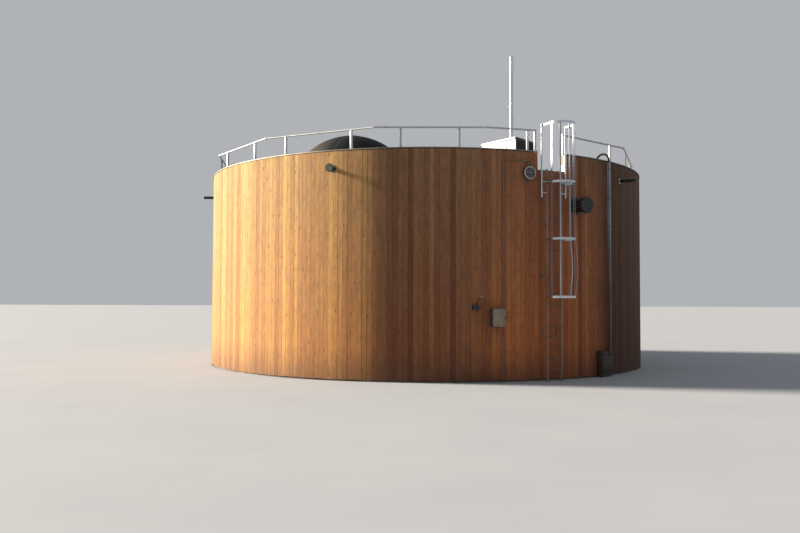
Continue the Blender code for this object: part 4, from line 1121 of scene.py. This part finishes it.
def conduits():
    """Steel conduit from the ground past the box, with a tee to it, up to the lamp, in screwed saddles."""
    radius = WALL_FACE + TOUCH + CONDUIT_DIAMETER / 2
    seat = CLAD_RADIUS + 0.001
    meeting = BOX_BOTTOM + BOX_SIZE[2] / 2
    low, low_clips, high, high_clips = meshes(4)
    bar(low, place(CONDUIT_ANGLE, radius, 0), place(CONDUIT_ANGLE, radius, meeting), CONDUIT_DIAMETER, 20)
    for z in (0.25, 0.85, 1.50):
        saddle(low_clips, frame_at(CONDUIT_ANGLE, seat, z))
    finish("conduit_tube_lower", [(low, AGED_STEEL), (low_clips, AGED_STEEL)], ["conduit_lower"])
    bend = 0.06
    start = place(CONDUIT_ANGLE, radius, meeting + TOUCH)
    first, last = CONDUIT_ANGLE + degrees(bend / radius), LAMP_ANGLE - degrees(bend / radius)
    across = [place(first + (last - first) * i / 20, radius, CONDUIT_TURN) for i in range(21)]
    end = place(LAMP_ANGLE, radius, LAMP_HEIGHT + 0.06 + TOUCH)
    corners = [place(angle, radius, CONDUIT_TURN) for angle in (CONDUIT_ANGLE, LAMP_ANGLE)]
    points = [start] + round_bend(corners[0], start, across[0], bend) + across[1:-1]
    points += round_bend(corners[1], across[-1], end, bend) + [end]
    tube(high, points, CONDUIT_DIAMETER, 16, place((CONDUIT_ANGLE + LAMP_ANGLE) / 2, 1, 0))
    tee = frame_at(CONDUIT_ANGLE, CLAD_RADIUS + 0.0155, meeting + 0.03)
    slab(high, tee, (0.034, 0.030, 0.056), 0.004, 2)
    box_side = frame_at(BOX_ANGLE, radius, meeting + 0.03) @ Vector((BOX_SIZE[0] / 2 + 0.004, 0, 0))
    bar(high, tee @ Vector((-0.016, -0.002, 0)), box_side, 0.020, 12)
    for z in (2.3, 2.9, 3.5, 4.1, 4.7, 5.3):
        saddle(high_clips, frame_at(CONDUIT_ANGLE, seat, z))
    for angle in (16.2, 18.9):
        saddle(high_clips, frame_at(angle, seat, CONDUIT_TURN) @ swing(90, "Y"))
    finish("conduit_tube_upper", [(high, AGED_STEEL), (high_clips, AGED_STEEL)], ["conduit_upper"])


def wall_lamp():
    """A drum on a square foot, with a pale ring and wire cross that hold the domed glass by four screws."""
    spot = wall_frame(LAMP_ANGLE, LAMP_HEIGHT)
    drum, ring, glass, screws = meshes(4)
    slab(drum, spot @ shift(0, 0, 0.0275), (0.12, 0.12, 0.055), 0.006, 2)
    disc(drum, spot, 0.34, 0.04, 0.105, 64, 0.012)
    section = [(0.170, 0.106), (0.170, 0.132), (0.160, 0.141), (0.139, 0.141), (0.135, 0.134),
               (0.135, 0.106)]
    hoop(ring, section, spot, 64)
    for angle in (45, 135, 225, 315):
        disc(screws, spot @ swing(angle) @ shift(0.1525, 0, 0.140), 0.014, 0, 0.004, 12, 0.001)
    for index in range(12):
        slab(drum, spot @ swing(30 * index) @ shift(0.168, 0, 0.072), (0.010, 0.006, 0.05), 0.001)
    half = [(0.150, 0.141), (0.146, 0.158), (0.130, 0.168), (0.09, 0.1702)]
    arch = [(-x, z) for x, z in half] + half[::-1]
    for angle in (0, 90):
        turn = spot @ swing(angle)
        tube(ring, [turn @ Vector((x, 0, z)) for x, z in arch], 0.008, 8, turn.to_3x3() @ Vector((0, 1, 0)))
    finish("lamp_drum", [(drum, DARK_CAST), (ring, PALE_CAST), (screws, BOLTS)], ["lamp_housing"],
           30)
    profile = [(0.0, 0.1405), (0.134, 0.1405), (0.133, 0.147), (0.120, 0.154), (0.095, 0.1595),
               (0.06, 0.1635), (0.0, 0.1650)]
    corners = [glass.verts.new(spot @ Vector((x, 0, z))) for x, z in profile]
    edges = [glass.edges.new(pair) for pair in zip(corners, corners[1:])]
    bmesh.ops.spin(glass, geom=corners + edges, cent=spot.to_translation(), axis=spot.to_3x3() @ UP,
                   angle=2 * pi, steps=48, use_merge=True)
    finish("lamp_dome_glass", [(glass, GLASS)], ["lamp_glass"], 30)


def probe():
    """The dark probe head: a moulded case on a back plate, its lid held by screws, with a cable."""
    head, screws, cable, gland = meshes(4)
    width, height, lead = 0.20, 0.14, 0.012
    end_angle, end_height = PROBE_ANGLE + 1.17, 2.175
    spot = frame_at(PROBE_ANGLE, WALL_FACE, PROBE_HEIGHT)
    slab(head, spot @ shift(0, 0.004, 0), (width, 0.008, height), 0.002)
    slab(head, spot @ shift(0, 0.034, 0), (width - 0.02, 0.054, height - 0.01), 0.010, 3)
    slab(head, spot @ shift(0, 0.075, 0), (width - 0.012, 0.030, height - 0.004), 0.010, 3)
    for x, y in oblong(0.15, 0.10):
        disc(screws, spot @ shift(x, 0.0895, y) @ OUTWARDS, 0.011, 0, 0.002, 12)
    top = place(PROBE_ANGLE, WALL_FACE + 0.0065, PROBE_HEIGHT + height / 2)
    bar(head, top - UP * 0.004, top + UP * 0.018, 0.022, 6, 0.001, 0.018)
    finish("probe_case", [(head, BLACK_PE), (screws, BOLTS)], ["probe_head"])
    radius = WALL_FACE + TOUCH + lead / 2
    start = place(PROBE_ANGLE, radius, PROBE_HEIGHT + height / 2 + TOUCH)
    end = place(end_angle, radius, end_height)
    leaving, arriving = start + UP * 0.05, start.lerp(end, 0.5) + UP * 0.054
    points = []
    for share in [index / 12 for index in range(13)]:
        rest = 1 - share
        near = start * rest ** 3 + leaving * 3 * share * rest ** 2
        points.append(near + arriving * 3 * share ** 2 * rest + end * share ** 3)
    tube(cable, points, lead, 10, place(PROBE_ANGLE, 1, 0))
    spot = wall_frame(end_angle, end_height)
    disc(gland, spot, 0.05, 0, 0.006, 20, 0.001)
    disc(gland, spot, 0.032, 0.006, 0.022, 6, 0.002)
    finish("probe_lead", [(cable, RUBBER), (gland, PALE_CAST)], ["probe_cable"])


def pipe_stub(name, node, angle, z, diameter, length, collar, flange, bolts, jacket, blank_coat):
    """A stub through a screwed wall collar, with a joint band and a bolted blank flange."""
    spot = wall_frame(angle, z)
    pipe, metal, screws, blank, fixings = meshes(5)
    collar_wide, collar_deep = collar
    flange_wide, flange_deep = flange
    end = length - flange_deep - TOUCH
    band = length * 0.42
    disc(pipe, spot, diameter, 0.002, end - flange_deep * 0.7, 64)
    disc(metal, spot, collar_wide, 0, collar_deep * 0.4, 64, 0.002)
    disc(metal, spot, diameter * 1.10, 0, collar_deep, 64, collar_deep * 0.25)
    disc(pipe, spot, diameter * 1.025, band, band + diameter * 0.09, 64, diameter * 0.008)
    disc(metal, spot, flange_wide, end - flange_deep * 0.8, end - 0.002, 64, 0.002)
    disc(pipe, spot, flange_wide * 0.93, end - 0.003, end + 0.002, 48)
    rim = shift((collar_wide + diameter * 1.1) / 4, 0, collar_deep * 0.4)
    for index in range(8):
        bolt(screws, spot @ swing(22.5 + 45 * index) @ rim, min(0.012, (collar_wide - diameter) / 9))
    finish(name, [(pipe, jacket), (metal, blank_coat), (screws, BOLTS)], [node], 40)
    disc(blank, spot, flange_wide, end + TOUCH, length, 64, 0.003)
    size = 0.02 if diameter > 0.2 else 0.013
    circle = shift(flange_wide / 2 - (flange_wide - diameter) * 0.26, 0, length)
    for index in range(bolts):
        head = spot @ swing(360 * (index + 0.5) / bolts) @ circle
        bolt(fixings, head, size)
        disc(fixings, head, size, size * 0.7, size, 10)
    finish(name + "_blank", [(blank, blank_coat), (fixings, AGED_STEEL)], [node + "_flange"],
           40)


def rain_spouts():
    """Thick-walled spouts with a rolled lip, each through a pressed sheet rose on the boards."""
    wall = [(0.047, 0.002), (0.047, 0.436), (0.050, 0.438), (0.050, 0.4495), (0.042, 0.4495), (0.041, 0.446),
            (0.041, 0.002)]
    collar = [(0.0475, 0.0), (0.085, 0.0), (0.085, 0.003), (0.058, 0.010), (0.0475, 0.012)]
    for number, angle in enumerate(SPOUT_ANGLES, 1):
        spot = wall_frame(angle, ROOF_TOP)
        pipe, rose = meshes(2)
        hoop(pipe, wall, spot, 40)
        hoop(rose, collar, spot, 40)
        finish("rain_spout_pipe_%d" % number, [(pipe, BLACK_PE), (rose, SHEET)], ["rain_spout_%d" % number],
               30)


def ground_cabinet():
    """Cabinet on a recessed base, with two louvred doors on hinges, a lock and a link to the duct."""
    width, depth, height = CABINET_SIZE
    front = WALL_FACE + depth
    case, metal = meshes(2)
    spot = frame_at(CABINET_ANGLE, WALL_FACE + (depth - 0.02) / 2, height / 2)
    slab(case, spot @ shift(0, 0, 0.03), (width - 0.02, depth - 0.024, height - 0.09), 0.004, 2)
    slab(case, spot @ shift(0, 0.004, height / 2 - 0.012), (width, depth - 0.005, 0.024), 0.006, 2)
    slab(case, spot @ shift(0, -0.004, -height / 2 + 0.035), (width - 0.05, depth - 0.05, 0.07), 0.004)
    for side in (-1, 1):
        door = frame_at(CABINET_ANGLE, front - 0.014, height / 2 + 0.03)
        door = door @ shift(side * (width / 4 - 0.006), 0, 0)
        slab(case, door, (width / 2 - 0.02, 0.014, height - 0.12), 0.004, 2)
        for row in range(6):
            for z in (-0.23, 0.20):
                slab(case, door @ shift(0, 0.009, z + row * 0.012) @ swing(-30, "X"), (0.15, 0.010, 0.003))
        x = side * (width / 4 - 0.005)
        for z in (-0.2, 0.2):
            rod(metal, door, (x, 0.008, z - 0.03), (x, 0.008, z + 0.03), 0.012, 10, 0.002)
    lock = frame_at(CABINET_ANGLE, front - 0.006, 0.40) @ shift(0.035, 0, 0)
    slab(metal, lock, (0.026, 0.010, 0.11), 0.003, 2)
    disc(metal, lock @ shift(0, 0.004, -0.03) @ OUTWARDS, 0.016, 0, 0.004, 16, 0.001)
    bar(case, frame_at(CABINET_ANGLE, WALL_FACE + 0.05, 0.45) @ Vector((width / 2 - 0.02, 0, 0)),
        frame_at(DUCT_ANGLE, WALL_FACE + 0.05, 0.45) @ Vector((-0.034, 0, 0)), 0.030, 16)
    finish("cabinet_case", [(case, UMBER), (metal, AGED_STEEL)], ["ground_cabinet"], 30)


def cable_run():
    """The lidded duct in three lengths, held by clips, and the hose from its top over the parapet."""
    duct, clips, hose, clamps = meshes(4)
    lengths = 3
    for index in range(lengths):
        bottom, top = DUCT_TOP * index / lengths, DUCT_TOP * (index + 1) / lengths - 0.002
        middle = frame_at(DUCT_ANGLE, WALL_FACE, (bottom + top) / 2)
        slab(duct, middle @ shift(0, 0.0355, 0), (0.064, 0.070, top - bottom), 0.002)
        slab(duct, middle @ shift(0, 0.0745, 0), (0.070, 0.010, top - bottom - 0.002), 0.002, 2)
        if index:
            slab(duct, frame_at(DUCT_ANGLE, WALL_FACE + 0.0805, bottom), (0.074, 0.003, 0.08), 0.001)
    for z in (0.20, 0.95, 1.75, 2.55, 3.35, 4.15, 4.95, 5.75):
        spot = frame_at(DUCT_ANGLE, WALL_FACE, z)
        slab(clips, spot @ shift(0, 0.0815, 0), (0.078, 0.003, 0.030), 0.001)
        for side in (-1, 1):
            slab(clips, spot @ shift(side * 0.0375, 0.042, 0), (0.003, 0.080, 0.030), 0.001)
            slab(clips, spot @ shift(side * 0.052, 0.0015, 0), (0.030, 0.003, 0.030), 0.001)
            bolt(clips, spot @ shift(side * 0.055, 0.003, 0) @ OUTWARDS, 0.008)
    finish("duct_sheet", [(duct, DUCT_SHEET), (clips, AGED_STEEL)], ["cable_duct"])
    outer = WALL_FACE + 0.04
    half_circle = ring_points(2 * HOSE_RADIUS, 64)[:33]
    arch = [(outer - HOSE_RADIUS + x, DUCT_TOP + HOSE_SOCKET + z) for x, z in half_circle]
    line = [(outer, DUCT_TOP + TOUCH), *arch, (outer - 2 * HOSE_RADIUS, ROOF_FACE)]
    points = [place(DUCT_ANGLE, reach, z) for reach, z in line]
    tube(hose, points, HOSE_DIAMETER, 20, frame_at(DUCT_ANGLE, 1, 0).to_3x3() @ Vector((1, 0, 0)))
    for end, size in ((points[0], 0.075), (points[-1], 0.11)):
        disc(clamps, Matrix.Translation(end), size, 0, 0.012, 32, 0.003)
        disc(clamps, Matrix.Translation(end), 0.064, 0.012, 0.030, 32, 0.002)
    finish("roof_hose_rubber", [(hose, RUBBER), (clamps, BLACK_PE)], ["roof_hose"], 40)


boards()
coat_core()
parapet_lining()
coping()
notch_lining()
ladder()
cage()
exit_rails()
guard_rail()
gas_dome()
housing()
vent_stack()
roof_outlets()
switch_box()
conduits()
wall_lamp()
probe()
pipe_stub("transfer_pipe_jacket", "transfer_pipe", angle=33.45, z=4.62, diameter=0.35, length=0.42,
          collar=(0.46, 0.03), flange=(0.45, 0.04), bolts=12, jacket=BLACK_PE, blank_coat=BLACK_COAT)
pipe_stub("gas_pipe_tube", "gas_pipe", angle=-21.65, z=5.50, diameter=0.11, length=0.24,
          collar=(0.20, 0.02), flange=(0.22, 0.025), bolts=8, jacket=GREEN_GREY, blank_coat=GREEN_GREY)
rain_spouts()
ground_cabinet()
cable_run()
# The concrete shows in the CAD model's own shapes, so only its material is set
for node in ("floor_slab", "roof_slab", "tank_wall_1", "tank_wall_2", "tank_wall_3", "tank_wall_4"):
    for coat in NODES[node].material_slots:
        coat.material = CONCRETE

# The floor, the light and the camera
ground = bmesh.new()
bmesh.ops.create_grid(ground, x_segments=1, y_segments=1, size=150)
floor_mesh = bpy.data.meshes.new("studio_floor")
ground.to_mesh(floor_mesh)
ground.free()
floor_mesh.materials.append(worn("pale_studio_floor", "979CA2", "92979E", 2500, 40, 0.2, (0.8, 0.9)))
floor = bpy.data.objects.new("studio_floor", floor_mesh)
bpy.context.scene.collection.objects.link(floor)

key = bpy.data.lights.new("key", "SUN")
key.energy = SUN_POWER
key.angle = radians(SUN_WIDTH)
key.color = linear("FFF0DC")[:3]
lamp = bpy.data.objects.new("key", key)
towards = place(SUN_ANGLE, cos(radians(SUN_HEIGHT)), sin(radians(SUN_HEIGHT)))
lamp.matrix_world = towards.to_track_quat("Z", "Y").to_matrix().to_4x4()
bpy.context.scene.collection.objects.link(lamp)

sky = bpy.data.worlds.new("soft_fill")
sky.use_nodes = True
background = sky.node_tree.nodes["Background"].inputs
background["Color"].default_value = linear("F0F3F8")
background["Strength"].default_value = SKY_POWER
bpy.context.scene.world = sky
bpy.context.scene.view_settings.view_transform = "Standard"

lens = bpy.data.cameras.new("camera")
lens.lens = LENS
lens.sensor_width = 36
camera = bpy.data.objects.new("camera", lens)
camera.matrix_world = shift(*CAMERA_PLACE) @ swing(CAMERA_PITCH, "X") @ swing(CAMERA_ROLL)
bpy.context.scene.collection.objects.link(camera)
bpy.context.scene.camera = camera
